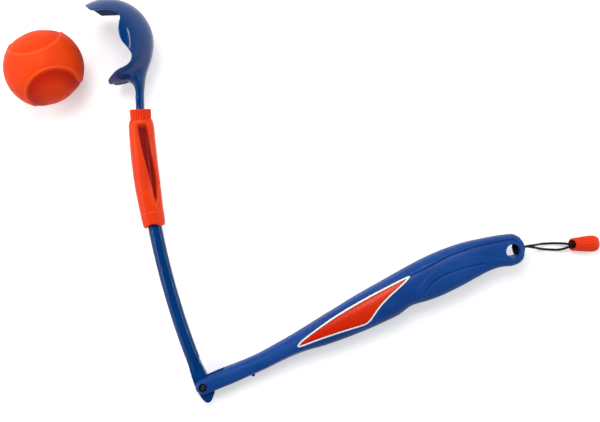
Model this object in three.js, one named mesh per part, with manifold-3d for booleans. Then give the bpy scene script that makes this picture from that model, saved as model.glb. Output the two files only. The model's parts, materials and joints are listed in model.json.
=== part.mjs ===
// Dog ball launcher with a folding arm, in millimetres, +Z up.
// It lies on its side on the floor, its arm square to its handle, with its ball beside the cup.
// The fold plane's own frame has the pivot at its origin, +X along the floor and +Z out of the plane.

import * as THREE from 'three';
import { mergeVertices } from 'three/addons/utils/BufferGeometryUtils.js';
import Module from 'manifold-3d';

const wasm = await Module();
wasm.setup();

// Clearances shared by the whole part
const fitGap = 0.3;
const slideGap = 0.45;
const overrun = 6;
const weldReach = 0.02;
const full = 2 * Math.PI;
const quarter = Math.PI / 2;

// Ball
const ballRadius = 32.5;
const ballDetail = 8;
const ballReach = 57.1;
const ballBearingDegrees = 200.7;
const dishDip = 1.1;
const dishMiddleDip = 0.4;
const dishFade = 9;
const dishEdge = 2.4;
const dishReachDegrees = 70;
const ballDishes = [
  { towards: new THREE.Vector3(-0.306, 0.882, 0.358), degrees: 40.7 },
  { towards: new THREE.Vector3(0.284, -0.747, 0.601), degrees: 44.7 },
];

// Cup that holds the ball
const cupSlack = 0.7;
const cupWall = 2.5;
const cupInner = ballRadius + cupSlack;
const cupOuter = cupInner + cupWall;
const cupCentre = { x: -74.8, y: 283.6 };
const cupSides = 32;
const cupRings = 20;

// Arm shaft, bent on one arc from the neck to the pivot
const shaftArcRadius = 665;
const shaftStartDegrees = 22.55;
const shaftNeckDegrees = 1.2;
const shaftThickness = 10.6;
const shaftHingeWidth = 11.4;
const shaftNeckWidth = 6.6;
const shaftRoundness = 2.5;
const shaftTaperShare = 0.5;
const shaftSteps = 20;
const shaftSides = 16;

// Neck that spreads from the shaft into the cup
const neckLength = 38;
const neckWidth = 22;
const neckFootDrop = 50;
const neckSteps = 14;

// Hinge tongue, heel and the fork that holds them
const tongueThickness = 7.2;
const heelLength = 14.6;
const shoulderOffset = 7.1;
const shoulderHeight = 23.5;
const flankEnd = 2;
const forkRadius = 6.9;
const forkThickness = 19;
const slotDepth = 21;
const washerThickness = 0.6;
const washerRadius = 4.6;
const slotWidth = tongueThickness + 2 * (washerThickness + 2 * fitGap);

// Pivot screw and its barrel nut
const barrelRadius = 1.8;
const barrelHeadRadius = 2.8;
const barrelHeadThickness = 1.5;
const screwShankRadius = 1;
const screwHeadRadius = 2.3;
const screwHeadThickness = 1.6;
const screwSocketRadius = 0.9;
const screwSocketDepth = 1;
const counterboreRadius = 3.2;
const counterboreDepth = 2.6;
const headRecess = 0.7;
const pivotSides = 20;

// Handle
const handleLength = 290.1;
const handleDegrees = 23.5;
const gripDepth = 35;
const bellyThickness = 32;
const handleWall = 3;
const partingGap = 0.3;
const handleSides = 20;
const cavityStart = 27;
const cavityEndInset = 24.1;
const cavityEnd = handleLength - cavityEndInset;
const hangHoleRadius = 5.6;
const hangHoleInset = 11.1;
const hangHolePlace = { along: handleLength - hangHoleInset, across: 3.1 };
const hangRimWidth = 2.4;
const hangRimThickness = 21.8;
const cordBoreRadius = 2.5;
const cordBoreDegrees = -9;
const nubRadius = 1.6;
const nubShares = { along: 0.1434, across: -0.2314 };

// Pegs that line the two handle shells up
const pegRadius = 1.6;
const pegLength = 4.5;
const bossWall = 1.8;
const pegSides = 10;

// Shares of handleLength and gripDepth
const pegShares = [[0.207, 0], [0.517, 0.129], [0.838, 0.257]];
const pegPlaces = pegShares.map(([along, across]) => ({ x: along * handleLength, y: across * gripDepth }));

// Badge let into the front of the handle
const badgeDepth = 1.2;
const badgeStand = 0.3;
const badgeBorder = 1.8;
const badgeSteps = 17;
const leanShare = 0.125;

// Grip panel and groove on both sides of the handle
const panelDepth = 0.6;
const grooveWidth = 2;
const grooveDepth = 1;
const panelSteps = 14;

// Lock sleeve that slides along the shaft
const sleeveLength = 89;
const sleeveWidth = 21.2;
const sleeveStartDegrees = 10.55;
const sleeveSteps = 8;
const sleeveSides = 18;
const windowDepth = 3.6;
const windowLength = 66;
const windowWidth = 12.5;
const windowBottom = 22;
const windowDraft = 1.8;
const mouthScoop = 2.6;
const mouthScoopRadius = 7;
const sleeveRoundness = 2.2;

// Knurled ring on the sleeve
const ringLength = 8.2;
const ringRadius = 8.6;
const ringFlutes = 26;
const ringFluteSides = 4;
const fluteDepth = 0.55;

// Lanyard
const cordDiameter = 2;
const cordSides = 8;
const strandSteps = 24;
const knotRadius = 3.1;
const knotLength = 4.4;
const knotEndShare = 0.08;
const knotSides = 12;
const knotSteps = 6;
const toggleLength = 25.5;
const toggleRadius = 6.9;
const toggleFlutes = 14;
const toggleFluteSides = 3;
const toggleFluteDepth = 0.5;
const toggleSteps = 8;
const toggleBore = 3.4;
const toggleBoreDepth = 13;
const toggleBoreSides = 16;
const togglePlace = { x: 253.7, y: -34.5 };
const toggleTurnDegrees = 3;
const toggleTiltDegrees = 4.5;

// Turns of the rest search, and the roundness of a circle
const settleSteps = 12;
const circular = 2;

// Basic solids and joins

function solidOf(geometry) {
  const bare = geometry.clone();
  bare.deleteAttribute('normal');
  bare.deleteAttribute('uv');
  const welded = mergeVertices(bare);
  const vertProperties = Float32Array.from(welded.attributes.position.array);
  const triVerts = Uint32Array.from(welded.index.array);
  return new wasm.Manifold(new wasm.Mesh({ numProp: 3, vertProperties, triVerts }));
}

function geometryOf(solid) {
  const mesh = solid.simplify(weldReach).getMesh();
  const geometry = new THREE.BufferGeometry();
  geometry.setAttribute('position', new THREE.BufferAttribute(Float32Array.from(mesh.vertProperties), 3));
  geometry.setIndex(new THREE.BufferAttribute(Uint32Array.from(mesh.triVerts), 1));
  geometry.computeVertexNormals();
  return geometry;
}

// A loft through rings of equal count, each counter-clockwise seen from the far end
function loft(rings) {
  const sides = rings[0].length;
  const points = rings.flat();
  const middle = (ring) => ring.reduce((sum, p) => sum.add(p), new THREE.Vector3()).divideScalar(sides);
  const lastRing = rings.length - 1;
  const startCentre = points.length;
  const endCentre = startCentre + 1;
  points.push(middle(rings[0]), middle(rings[lastRing]));
  const index = [];
  for (let j = 0; j < sides; j += 1) {
    const next = (j + 1) % sides;
    for (let i = 0; i < lastRing; i += 1) {
      const here = i * sides;
      const ahead = here + sides;
      index.push(here + j, here + next, ahead + j);
      index.push(here + next, ahead + next, ahead + j);
    }
    index.push(startCentre, next, j);
    index.push(endCentre, lastRing * sides + j, lastRing * sides + next);
  }
  const geometry = new THREE.BufferGeometry().setFromPoints(points);
  geometry.setIndex(index);
  return solidOf(geometry);
}

// One ring of a loft: a superellipse across two axes
function section(centre, axisA, axisB, halfA, halfB, roundness, sides) {
  const ring = [];
  for (let j = 0; j < sides; j += 1) {
    const turn = (full * j) / sides;
    const a = Math.sign(Math.cos(turn)) * Math.abs(Math.cos(turn)) ** (circular / roundness);
    const b = Math.sign(Math.sin(turn)) * Math.abs(Math.sin(turn)) ** (circular / roundness);
    ring.push(centre.clone().addScaledVector(axisA, a * halfA).addScaledVector(axisB, b * halfB));
  }
  return ring;
}

function prism(points, low, high) {
  const shape = new THREE.Shape(points.map((p) => new THREE.Vector2(p.x, p.y)));
  const geometry = new THREE.ExtrudeGeometry(shape, { depth: high - low, bevelEnabled: false });
  return solidOf(geometry.translate(0, 0, low));
}

function rod(radius, low, high, sides, place = { x: 0, y: 0 }) {
  const geometry = new THREE.CylinderGeometry(radius, radius, high - low, sides);
  geometry.rotateX(quarter).translate(place.x, place.y, (low + high) / 2);
  return solidOf(geometry);
}

function globe(radius, place, sides, rings) {
  return solidOf(new THREE.SphereGeometry(radius, sides, rings).translate(place.x, place.y, 0));
}

// A smooth function through rows whose first column is the position
function curveThrough(rows) {
  const positions = rows.map((row) => row[0]);
  const values = rows.flatMap((row) => row.slice(1));
  const columns = rows[0].length - 1;
  const curve = new THREE.CubicInterpolant(positions, values, columns, new Float32Array(columns));
  return (position) => Array.from(curve.evaluate(position));
}

// Handle, in its own frame: +X from the pivot to the hanging end, +Y to its spine

// Shares: along of handleLength, spine and palm of gripDepth, side of half bellyThickness; then roundness
const handleShares = [
  [0, 0.197, -0.197, 0.594, 3.4],
  [0.055, 0.203, -0.206, 0.594, 3.3],
  [0.114, 0.189, -0.22, 0.588, 2.9],
  [0.179, 0.194, -0.226, 0.6, 2.5],
  [0.238, 0.24, -0.197, 0.663, 2.4],
  [0.279, 0.277, -0.191, 0.725, 2.4],
  [0.327, 0.331, -0.209, 0.806, 2.4],
  [0.379, 0.397, -0.249, 0.888, 2.5],
  [0.434, 0.463, -0.277, 0.95, 2.5],
  [0.493, 0.537, -0.291, 0.994, 2.5],
  [0.548, 0.591, -0.286, 1, 2.5],
  [0.593, 0.626, -0.263, 0.969, 2.6],
  [0.641, 0.671, -0.183, 0.9, 2.6],
  [0.683, 0.72, -0.223, 0.863, 2.7],
  [0.72, 0.766, -0.243, 0.838, 2.8],
  [0.782, 0.746, -0.226, 0.788, 2.8],
  [0.845, 0.697, -0.174, 0.744, 2.9],
  [0.882, 0.643, -0.151, 0.713, 3],
  [0.913, 0.589, -0.171, 0.694, 3],
  [0.952, 0.509, -0.26, 0.688, 3],
  [0.972, 0.46, -0.243, 0.681, 3],
  [0.984, 0.417, -0.183, 0.65, 2.8],
  [0.992, 0.351, -0.077, 0.581, 2.6],
  [0.998, 0.257, 0.026, 0.45, 2.4],
  [1, 0.166, 0.109, 0.25, 2.2],
];
const handleCurve = curveThrough(handleShares);

// Rounded end of the fork, in shares of its reach and of the handle's side
const forkCapShares = [[0.995, 0.88], [0.95, 0.917], [0.83, 0.972], [0.62, 0.997], [0.34, 1]];

// The handle's skin moved out by an offset, between two places along it
function handleSkin(offset, from, to) {
  const along = new THREE.Vector3(0, 1, 0);
  const up = new THREE.Vector3(0, 0, 1);
  const rings = [];
  const ringAt = (place, spine, palm, side, roundness) => {
    const centre = new THREE.Vector3(place, (spine + palm) / 2, 0);
    const half = Math.max((spine - palm) / 2 + offset, fitGap);
    rings.push(section(centre, along, up, half, Math.max(side + offset, fitGap), roundness, handleSides));
  };
  if (from <= 0) {
    const [, , side, roundness] = handleCurve(0);
    for (const [share, sideShare] of forkCapShares) {
      const half = forkRadius * Math.sqrt(1 - share ** 2);
      const reach = (forkRadius + offset) * share;
      ringAt(-reach, half, -half, side * (bellyThickness / 2) * sideShare, roundness);
    }
  }
  const start = Math.max(from, 0) / handleLength;
  const end = Math.min(to / handleLength, 1);
  const inner = handleShares.map((row) => row[0]).filter((share) => share > start && share < end);
  for (const share of [start, ...inner, end]) {
    const [spine, palm, side, roundness] = handleCurve(share);
    const reach = share * handleLength;
    ringAt(reach, spine * gripDepth, palm * gripDepth, side * (bellyThickness / 2), roundness);
  }
  return loft(rings);
}

// A region between two curves along the handle, drawn in by an inset
function bandOutline(upper, lower, steps, inset) {
  const from = Math.max(upper[0][0], lower[0][0]);
  const to = Math.min(upper[upper.length - 1][0], lower[lower.length - 1][0]);
  const high = curveThrough(upper);
  const low = curveThrough(lower);
  const step = (to - from) / steps;
  const above = [];
  const below = [];
  const nudge = step * leanShare;
  const lean = (curve, share) => {
    const rise = (curve(share + nudge)[0] - curve(share - nudge)[0]) * gripDepth;
    return Math.hypot(1, rise / (2 * nudge * handleLength));
  };
  for (let i = 0; i <= steps; i += 1) {
    const share = from + step * i;
    const top = high(share)[0] * gripDepth - inset * lean(high, share);
    const bottom = low(share)[0] * gripDepth + inset * lean(low, share);
    if (top - bottom > fitGap) {
      above.push({ x: share * handleLength, y: top });
      below.push({ x: share * handleLength, y: bottom });
    }
  }
  return [...below, ...above.reverse()];
}

// Shares of handleLength and gripDepth
const badgeUpperShares = [
  [0.291, -0.075], [0.315, 0.049], [0.358, 0.146], [0.458, 0.271], [0.557, 0.369], [0.653, 0.425], [0.667, 0.42],
];
const badgeLowerShares = [
  [0.291, -0.095], [0.312, -0.117], [0.406, -0.131], [0.486, -0.163], [0.517, -0.089], [0.576, 0.14],
  [0.639, 0.32], [0.667, 0.4],
];
const panelUpperShares = [[0.693, 0.5], [0.734, 0.55], [0.8, 0.56], [0.859, 0.511], [0.917, 0.426], [0.938, 0.39]];
const panelLowerShares = [[0.693, 0.0], [0.734, 0.13], [0.78, 0.186], [0.843, 0.183], [0.911, 0.017], [0.938, -0.05]];
const grooveShares = [[0.69, -0.05], [0.723, 0.034], [0.76, 0.083], [0.822, 0.089], [0.851, 0.046], [0.876, -0.017]];

function handleShells() {
  const reach = bellyThickness;
  const skin = handleSkin(0, 0, handleLength);
  const rimRadius = hangHoleRadius + hangRimWidth;
  const hole = { x: hangHolePlace.along, y: hangHolePlace.across };
  const halfRim = hangRimThickness / 2;
  const nubPlace = { x: nubShares.along * handleLength, y: nubShares.across * gripDepth };
  const nub = globe(nubRadius, nubPlace, pegSides, pegSides / 2);
  let solid = skin.add(rod(rimRadius, -halfRim, halfRim, handleSides, hole)).add(nub);
  const above = rod(rimRadius, halfRim, reach, handleSides, hole);
  const below = rod(rimRadius, -reach, -halfRim, handleSides, hole);
  solid = solid.subtract(above).subtract(below);

  // Fork slot, pivot bores, hanging hole and cord bore
  const halfSlot = slotWidth / 2;
  const slotBox = [
    { x: -forkRadius - overrun, y: -gripDepth },
    { x: slotDepth, y: -gripDepth },
    { x: slotDepth, y: gripDepth },
    { x: -forkRadius - overrun, y: gripDepth },
  ];
  solid = solid.subtract(prism(slotBox, -halfSlot, halfSlot));
  const halfFork = forkThickness / 2;
  solid = solid.subtract(rod(barrelRadius + fitGap, -reach, reach, pivotSides));
  solid = solid.subtract(rod(counterboreRadius, halfFork - counterboreDepth, reach, pivotSides));
  solid = solid.subtract(rod(counterboreRadius, -reach, counterboreDepth - halfFork, pivotSides));
  solid = solid.subtract(rod(hangHoleRadius, -reach, reach, handleSides, hole));
  const boreLength = handleLength - hole.x + overrun;
  const bore = new THREE.CylinderGeometry(cordBoreRadius, cordBoreRadius, boreLength, pivotSides / 2);
  bore.rotateZ(quarter).translate(boreLength / 2, 0, 0);
  bore.rotateZ(radians(cordBoreDegrees)).translate(hole.x, hole.y, 0);
  solid = solid.subtract(solidOf(bore));

  // Grip panel and groove on each side
  const panelSkin = handleSkin(-panelDepth, cavityStart, handleLength);
  const grooveSkin = handleSkin(-grooveDepth, cavityStart, handleLength);
  const panelOutline = bandOutline(panelUpperShares, panelLowerShares, panelSteps, 0);
  const grooveHalf = grooveWidth / 2 / gripDepth;
  const grooveUpper = grooveShares.map(([share, rise]) => [share, rise + grooveHalf]);
  const grooveLower = grooveShares.map(([share, rise]) => [share, rise - grooveHalf]);
  const grooveOutline = bandOutline(grooveUpper, grooveLower, panelSteps, 0);
  const keepRim = rod(rimRadius, -reach, reach, handleSides, hole);
  const panelCut = prism(panelOutline, -reach, reach).subtract(panelSkin).subtract(keepRim);
  const grooveCut = prism(grooveOutline, -reach, reach).subtract(grooveSkin);
  solid = solid.subtract(panelCut).subtract(grooveCut);

  // Hollow inside, with bosses for the pegs
  let cavity = handleSkin(-handleWall, cavityStart, cavityEnd);
  for (const peg of pegPlaces) {
    cavity = cavity.subtract(rod(pegRadius + fitGap + bossWall, -reach, reach, pegSides, peg));
  }
  solid = solid.subtract(cavity);

  const halfPart = partingGap / 2;
  const frame = [
    { x: -handleLength, y: -handleLength },
    { x: handleLength * 2, y: -handleLength },
    { x: handleLength * 2, y: handleLength },
    { x: -handleLength, y: handleLength },
  ];
  let front = solid.intersect(prism(frame, halfPart, reach));
  let back = solid.intersect(prism(frame, -reach, -halfPart));
  for (const peg of pegPlaces) {
    front = front.add(rod(pegRadius, -pegLength, pegLength, pegSides, peg));
    back = back.subtract(rod(pegRadius + fitGap, -pegLength - fitGap, pegLength, pegSides, peg));
  }

  // Seat of the badge, in the front shell only
  const seatSkin = handleSkin(-badgeDepth - fitGap, cavityStart, handleLength);
  const seatOutline = bandOutline(badgeUpperShares, badgeLowerShares, badgeSteps, -fitGap);
  front = front.subtract(prism(seatOutline, 0, reach).subtract(seatSkin));
  return { front, back };
}

function badgePieces() {
  const high = bellyThickness;
  const floor = handleSkin(-badgeDepth, cavityStart, handleLength);
  const outline = (inset) => prism(bandOutline(badgeUpperShares, badgeLowerShares, badgeSteps, inset), 0, high);
  const borderTop = handleSkin(badgeStand, cavityStart, handleLength);
  const panelTop = handleSkin(0, cavityStart, handleLength);
  const border = outline(0).subtract(outline(badgeBorder)).intersect(borderTop).subtract(floor);
  const panel = outline(badgeBorder + fitGap).intersect(panelTop).subtract(floor);
  return { border, panel };
}

// Hinge hardware on the pivot axis

function pivotScrew() {
  const top = forkThickness / 2 - headRecess;
  const seat = top - screwHeadThickness;
  const shankEnd = -forkThickness / 2 + barrelHeadThickness + headRecess + fitGap;
  const head = rod(screwHeadRadius, seat, top, pivotSides);
  const shank = rod(screwShankRadius, shankEnd, top, pivotSides);
  const socket = rod(screwSocketRadius, top - screwSocketDepth, top + overrun, pivotSides / 2);
  return head.add(shank).subtract(socket);
}

function pivotBarrel() {
  const low = -forkThickness / 2 + headRecess;
  const high = forkThickness / 2 - headRecess - screwHeadThickness - fitGap;
  const head = rod(barrelHeadRadius, low, low + barrelHeadThickness, pivotSides);
  const tube = rod(barrelRadius, low, high, pivotSides);
  const bore = rod(screwShankRadius + fitGap, low + barrelHeadThickness - fitGap, high + overrun, pivotSides);
  return head.add(tube).subtract(bore);
}

function pivotWasher() {
  const bore = rod(barrelRadius + fitGap, -washerThickness, washerThickness, pivotSides);
  return rod(washerRadius, -washerThickness / 2, washerThickness / 2, pivotSides).subtract(bore);
}

// Arm

const radians = THREE.MathUtils.degToRad;
const arcCentre = {
  x: shaftArcRadius * Math.cos(radians(shaftStartDegrees)),
  y: shaftArcRadius * Math.sin(radians(shaftStartDegrees)),
};

// A ring square to the shaft's arc, at an angle from the arc's level line
function arcSection(degrees, radius, halfWidth, halfThickness, roundness, sides) {
  const turn = Math.PI + radians(degrees);
  const outward = new THREE.Vector3(Math.cos(turn), Math.sin(turn), 0);
  const centre = new THREE.Vector3(arcCentre.x, arcCentre.y, 0).addScaledVector(outward, radius);
  const inward = outward.clone().negate();
  return section(centre, inward, new THREE.Vector3(0, 0, 1), halfWidth, halfThickness, roundness, sides);
}

// Half the shaft's width grows from the neck to the hinge
function shaftHalfWidth(degrees) {
  const share = THREE.MathUtils.smoothstep(degrees, shaftNeckDegrees, shaftStartDegrees * shaftTaperShare);
  return THREE.MathUtils.lerp(shaftNeckWidth, shaftHingeWidth, share) / 2;
}

function shaft() {
  const rings = [];
  for (let i = 0; i <= shaftSteps; i += 1) {
    const degrees = THREE.MathUtils.lerp(shaftNeckDegrees, shaftStartDegrees, i / shaftSteps);
    const width = shaftHalfWidth(degrees);
    rings.push(arcSection(degrees, shaftArcRadius, width, shaftThickness / 2, shaftRoundness, shaftSides));
  }
  return loft(rings);
}

// Shares of heelLength, round the tongue and heel from the shaft's right edge
const tongueShares = [
  [-0.36, 1.72], [-0.22, 1.47], [-0.01, 1.03], [0.22, 0.58], [0.5, 0.1], [0.63, -0.15], [0.63, -0.33],
  [0.56, -0.6], [0.43, -0.86], [0.25, -0.965], [0.06, -0.885], [-0.12, -0.68], [-0.32, -0.35], [-0.49, 0],
  [-0.6, 0.31], [-0.69, 0.59], [-0.82, 1.1], [-0.94, 1.58], [-0.93, 1.72],
];

// Shares of neckLength up from the shaft, left and right of neckWidth, depth of shaftThickness
const neckShares = [
  [0, 0.955, 1.255, 0.5, 2.5],
  [0.16, 0.96, 1.262, 0.5, 2.5],
  [0.31, 0.945, 1.273, 0.58, 2.4],
  [0.42, 0.86, 1.285, 0.76, 2.3],
  [0.5, 0.73, 1.3, 0.97, 2.2],
  [0.6, 0.55, 1.33, 1.1, 2.2],
  [0.75, 0.6, 1.39, 1.08, 2.2],
  [0.9, 0.85, 1.44, 0.9, 2.2],
  [1, 1.15, 1.47, 0.7, 2.2],
];

function neck() {
  const curve = curveThrough(neckShares);
  const foot = cupCentre.y - neckFootDrop;
  const rings = [];
  for (let i = 0; i <= neckSteps; i += 1) {
    const share = i / neckSteps;
    const [left, right, depth, roundness] = curve(share);
    const middle = cupCentre.x + ((left + right) / 2) * neckWidth;
    const centre = new THREE.Vector3(middle, foot + share * neckLength, 0);
    const half = ((right - left) / 2) * neckWidth;
    const across = new THREE.Vector3(0, 0, 1);
    const sideways = new THREE.Vector3(1, 0, 0);
    rings.push(section(centre, across, sideways, depth * shaftThickness, half, roundness, shaftSides));
  }
  return loft(rings);
}

// Front edge of the cup, in shares of cupOuter from its centre, from the lower prong up to the top finger
const mouthShares = [
  [-0.03, -1.02], [0.03, -0.88], [0.084, -0.815], [0.162, -0.74], [0.249, -0.664], [0.347, -0.602],
  [0.437, -0.557], [0.529, -0.496], [0.585, -0.417], [0.611, -0.339], [0.605, -0.266], [0.566, -0.19],
  [0.501, -0.104], [0.431, -0.014], [0.381, 0.104], [0.359, 0.227], [0.356, 0.305], [0.364, 0.417],
  [0.373, 0.496], [0.353, 0.569], [0.289, 0.63], [0.21, 0.669], [0.12, 0.686], [-0.034, 0.683],
  [-0.193, 0.678], [-0.291, 0.672], [-0.4, 0.743], [-0.5, 0.82], [-0.6, 1.02],
];

// Slot under the cup seen from below, in shares of cupOuter: along X and half its width
const prongShares = [
  [-0.4, 0.5], [0.03, 0.47], [0.085, 0.426], [0.195, 0.398], [0.31, 0.35], [0.4, 0.3], [0.462, 0.2], [0.5, 0.08],
];

function throwingArm() {
  const spread = 2 * cupOuter;
  const mouth = mouthShares.map(([x, y]) => ({ x: cupCentre.x + x * cupOuter, y: cupCentre.y + y * cupOuter }));
  const ends = [
    { x: cupCentre.x - spread, y: cupCentre.y + spread },
    { x: cupCentre.x - spread, y: cupCentre.y - spread },
  ];
  const mouthCut = prism([...mouth, ...ends], -spread, spread);
  const slotHalf = prongShares.map(([x, z]) => ({ x: x * cupOuter, y: z * cupOuter }));
  const slotOther = [...slotHalf].reverse().map((p) => ({ x: p.x, y: -p.y }));
  const slotGeometry = new THREE.ExtrudeGeometry(
    new THREE.Shape([...slotHalf, ...slotOther].map((p) => new THREE.Vector2(p.x, p.y))),
    { depth: cupOuter, bevelEnabled: false },
  );
  slotGeometry.rotateX(quarter).translate(cupCentre.x, cupCentre.y - cupOuter / 2, 0);
  const prongSlot = solidOf(slotGeometry);

  // The ball's space, and its way in past the prongs
  const wayIn = new THREE.CylinderGeometry(cupInner, cupInner, spread, cupSides);
  wayIn.rotateZ(quarter).translate(spread / 2, 0, 0);
  wayIn.rotateZ(radians(ballBearingDegrees)).translate(cupCentre.x, cupCentre.y, 0);
  const ballSpace = globe(cupInner, cupCentre, cupSides, cupRings).add(solidOf(wayIn));
  let cup = globe(cupOuter, cupCentre, cupSides, cupRings);
  cup = cup.subtract(mouthCut).subtract(prongSlot);
  cup = cup.add(neck()).subtract(ballSpace);

  const farSide = shaftArcRadius;
  const notch = [
    { x: -shoulderOffset, y: shoulderHeight },
    { x: farSide, y: shoulderHeight },
    { x: farSide, y: -farSide },
    { x: -farSide, y: -farSide },
    { x: -farSide, y: flankEnd },
    { x: -shoulderOffset, y: flankEnd },
  ];
  const barrel = shaft().subtract(prism(notch, -shaftThickness, shaftThickness));
  const tongue = tongueShares.map(([x, y]) => ({ x: x * heelLength, y: y * heelLength }));
  const plate = prism(tongue, -tongueThickness / 2, tongueThickness / 2);
  const pivotBore = rod(barrelRadius + fitGap, -forkThickness, forkThickness, pivotSides);
  return cup.add(barrel).add(plate).subtract(pivotBore);
}

// Lock sleeve and its ring, both bent to the shaft's arc

const degreesPerLength = THREE.MathUtils.radToDeg(1 / shaftArcRadius);
const sleeveBoreWidth = shaftHingeWidth / 2 + slideGap;
const sleeveBoreThickness = shaftThickness / 2 + slideGap;

// Shares: along the sleeve from its lower mouth, radius of half its width
const sleeveShares = [
  [0, 0.72], [0.012, 0.8], [0.04, 0.86], [0.08, 0.89], [0.16, 0.915], [0.35, 0.98], [0.6, 1], [0.85, 0.975],
  [0.93, 0.955], [0.97, 0.92], [1, 0.85],
];

// Teardrop in shares of windowWidth and windowLength, wide end up
const windowShares = [
  [0, 0], [0.12, 0.09], [0.25, 0.3], [0.36, 0.55], [0.47, 0.78], [0.5, 0.9], [0.36, 0.97], [0.1, 1],
  [-0.25, 0.985], [-0.46, 0.94], [-0.5, 0.85], [-0.44, 0.66], [-0.3, 0.4], [-0.13, 0.16],
];

function lockSleeve() {
  const curve = curveThrough(sleeveShares);
  const shares = sleeveShares.map((row) => row[0]);
  for (let i = 1; i < sleeveSteps; i += 1) {
    shares.push(i / sleeveSteps);
  }
  shares.sort((a, b) => a - b);
  const rings = shares.reverse().map((share) => {
    const degrees = sleeveStartDegrees - share * sleeveLength * degreesPerLength;
    const half = (curve(share)[0] * sleeveWidth) / 2;
    return arcSection(degrees, shaftArcRadius, half, half, sleeveRoundness, sleeveSides);
  });
  const bore = [];
  const margin = overrun * degreesPerLength;
  const from = sleeveStartDegrees - sleeveLength * degreesPerLength - margin;
  for (let i = 0; i <= sleeveSteps; i += 1) {
    const degrees = THREE.MathUtils.lerp(from, sleeveStartDegrees + margin, i / sleeveSteps);
    bore.push(arcSection(degrees, shaftArcRadius, sleeveBoreWidth, sleeveBoreThickness, shaftRoundness, sleeveSides));
  }
  const body = loft(rings).subtract(loft(bore));

  // The lower mouth is scooped front and back
  const mouthTurn = Math.PI + radians(sleeveStartDegrees);
  const drop = mouthScoopRadius - mouthScoop;
  const scoopPlace = {
    x: arcCentre.x + Math.cos(mouthTurn) * shaftArcRadius - Math.sin(mouthTurn) * drop,
    y: arcCentre.y + Math.sin(mouthTurn) * shaftArcRadius + Math.cos(mouthTurn) * drop,
  };
  const scoop = rod(mouthScoopRadius, -sleeveWidth, sleeveWidth, pivotSides, scoopPlace);

  // The window is a teardrop pocket in the front wall
  const turn = Math.PI + radians(sleeveStartDegrees - (windowBottom + windowLength / 2) * degreesPerLength);
  const tip = { x: Math.cos(turn), y: Math.sin(turn) };
  const outline = (grow) => windowShares.map(([across, along]) => {
    const side = across * (windowWidth + grow);
    const rise = (along - 1 / 2) * (windowLength + grow);
    const base = { x: arcCentre.x + tip.x * shaftArcRadius, y: arcCentre.y + tip.y * shaftArcRadius };
    return { x: base.x - tip.x * side + tip.y * rise, y: base.y - tip.y * side - tip.x * rise };
  });
  const low = sleeveWidth / 2 - windowDepth;
  const rim = outline(windowDraft * 2).map((p) => new THREE.Vector3(p.x, p.y, low + windowDepth * 2));
  const foot = outline(-windowDraft).map((p) => new THREE.Vector3(p.x, p.y, low));
  const pocket = loft([foot, rim]);
  return body.subtract(scoop).subtract(pocket);
}

function sleeveRing() {
  const points = [];
  const count = ringFlutes * ringFluteSides;
  for (let i = 0; i < count; i += 1) {
    const turn = (full * i) / count;
    const raised = i % ringFluteSides < ringFluteSides / 2;
    const radius = ringRadius - (raised ? 0 : fluteDepth);
    points.push({ x: radius * Math.cos(turn), y: radius * Math.sin(turn) });
  }
  const ring = prism(points, -ringLength / 2, ringLength / 2);
  const bore = section(
    new THREE.Vector3(0, 0, -ringLength),
    new THREE.Vector3(1, 0, 0),
    new THREE.Vector3(0, 1, 0),
    sleeveBoreWidth,
    sleeveBoreThickness,
    shaftRoundness,
    sleeveSides,
  );
  const boreTop = bore.map((p) => p.clone().setZ(ringLength));
  return ring.subtract(loft([bore, boreTop]));
}

// Lanyard pieces

function knot() {
  const rings = [];
  const across = new THREE.Vector3(0, 1, 0);
  const up = new THREE.Vector3(0, 0, 1);
  for (let i = 0; i <= knotSteps; i += 1) {
    const share = i / knotSteps;
    const swell = Math.sqrt(Math.sin(Math.PI * THREE.MathUtils.lerp(knotEndShare, 1 - knotEndShare, share)));
    const centre = new THREE.Vector3((share - 1 / 2) * knotLength, 0, 0);
    const half = knotRadius * swell;
    rings.push(section(centre, across, up, half, half, circular, knotSides));
  }
  return loft(rings);
}

// Places each strand passes on its way from the handle into the toggle, on the part's own axes
const upperRoute = [
  [207.8, -37.1, 22.9], [210.4, -36.4, 23], [213.1, -35.7, 23], [215.9, -35.1, 22.6], [218.7, -34.7, 21.4],
  [221.4, -34.5, 19], [223.7, -34.4, 15.9], [225.8, -34.2, 12.4], [227.9, -34.1, 8.8], [230.3, -33.9, 5.3],
  [233.4, -33.7, 2.6], [237.2, -33.6, 1.3], [241, -33.4, 1.2], [244.6, -33.4, 1.9], [247.8, -33.4, 3.3],
  [250.8, -33.6, 4.7], [253.7, -34, 5.4], [257.9, -33.6, 5.8], [261.6, -33.3, 6.1],
];
const lowerRoute = [
  [207.8, -36.9, 20.6], [210.4, -36.2, 20.7], [213.1, -35.6, 20.7], [215.7, -35.6, 20.2], [218.3, -35.9, 18.8],
  [220.6, -36.3, 16.5], [222.6, -36.6, 13.5], [224.6, -36.9, 10.1], [226.7, -37.3, 6.8], [229.4, -37.8, 3.9],
  [232.8, -38.3, 1.9], [236.8, -38.6, 1.2], [240.8, -38.8, 1.2], [244.4, -38.9, 1.9], [247.6, -38.5, 3.2],
  [250.6, -37.7, 4.4], [253.7, -36.5, 5], [257.9, -36, 5.4], [261.6, -35.7, 5.8],
];

function strand(route) {
  const curve = new THREE.CatmullRomCurve3(route.map(([x, y, z]) => new THREE.Vector3(x, y, z)));
  const up = new THREE.Vector3(0, 0, 1);
  const half = cordDiameter / 2;
  const rings = [];
  for (let i = 0; i <= strandSteps; i += 1) {
    const along = curve.getTangentAt(i / strandSteps);
    const across = up.clone().cross(along).normalize();
    const rise = along.clone().cross(across);
    rings.push(section(curve.getPointAt(i / strandSteps), across, rise, half, half, circular, cordSides));
  }
  return loft(rings);
}

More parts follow.
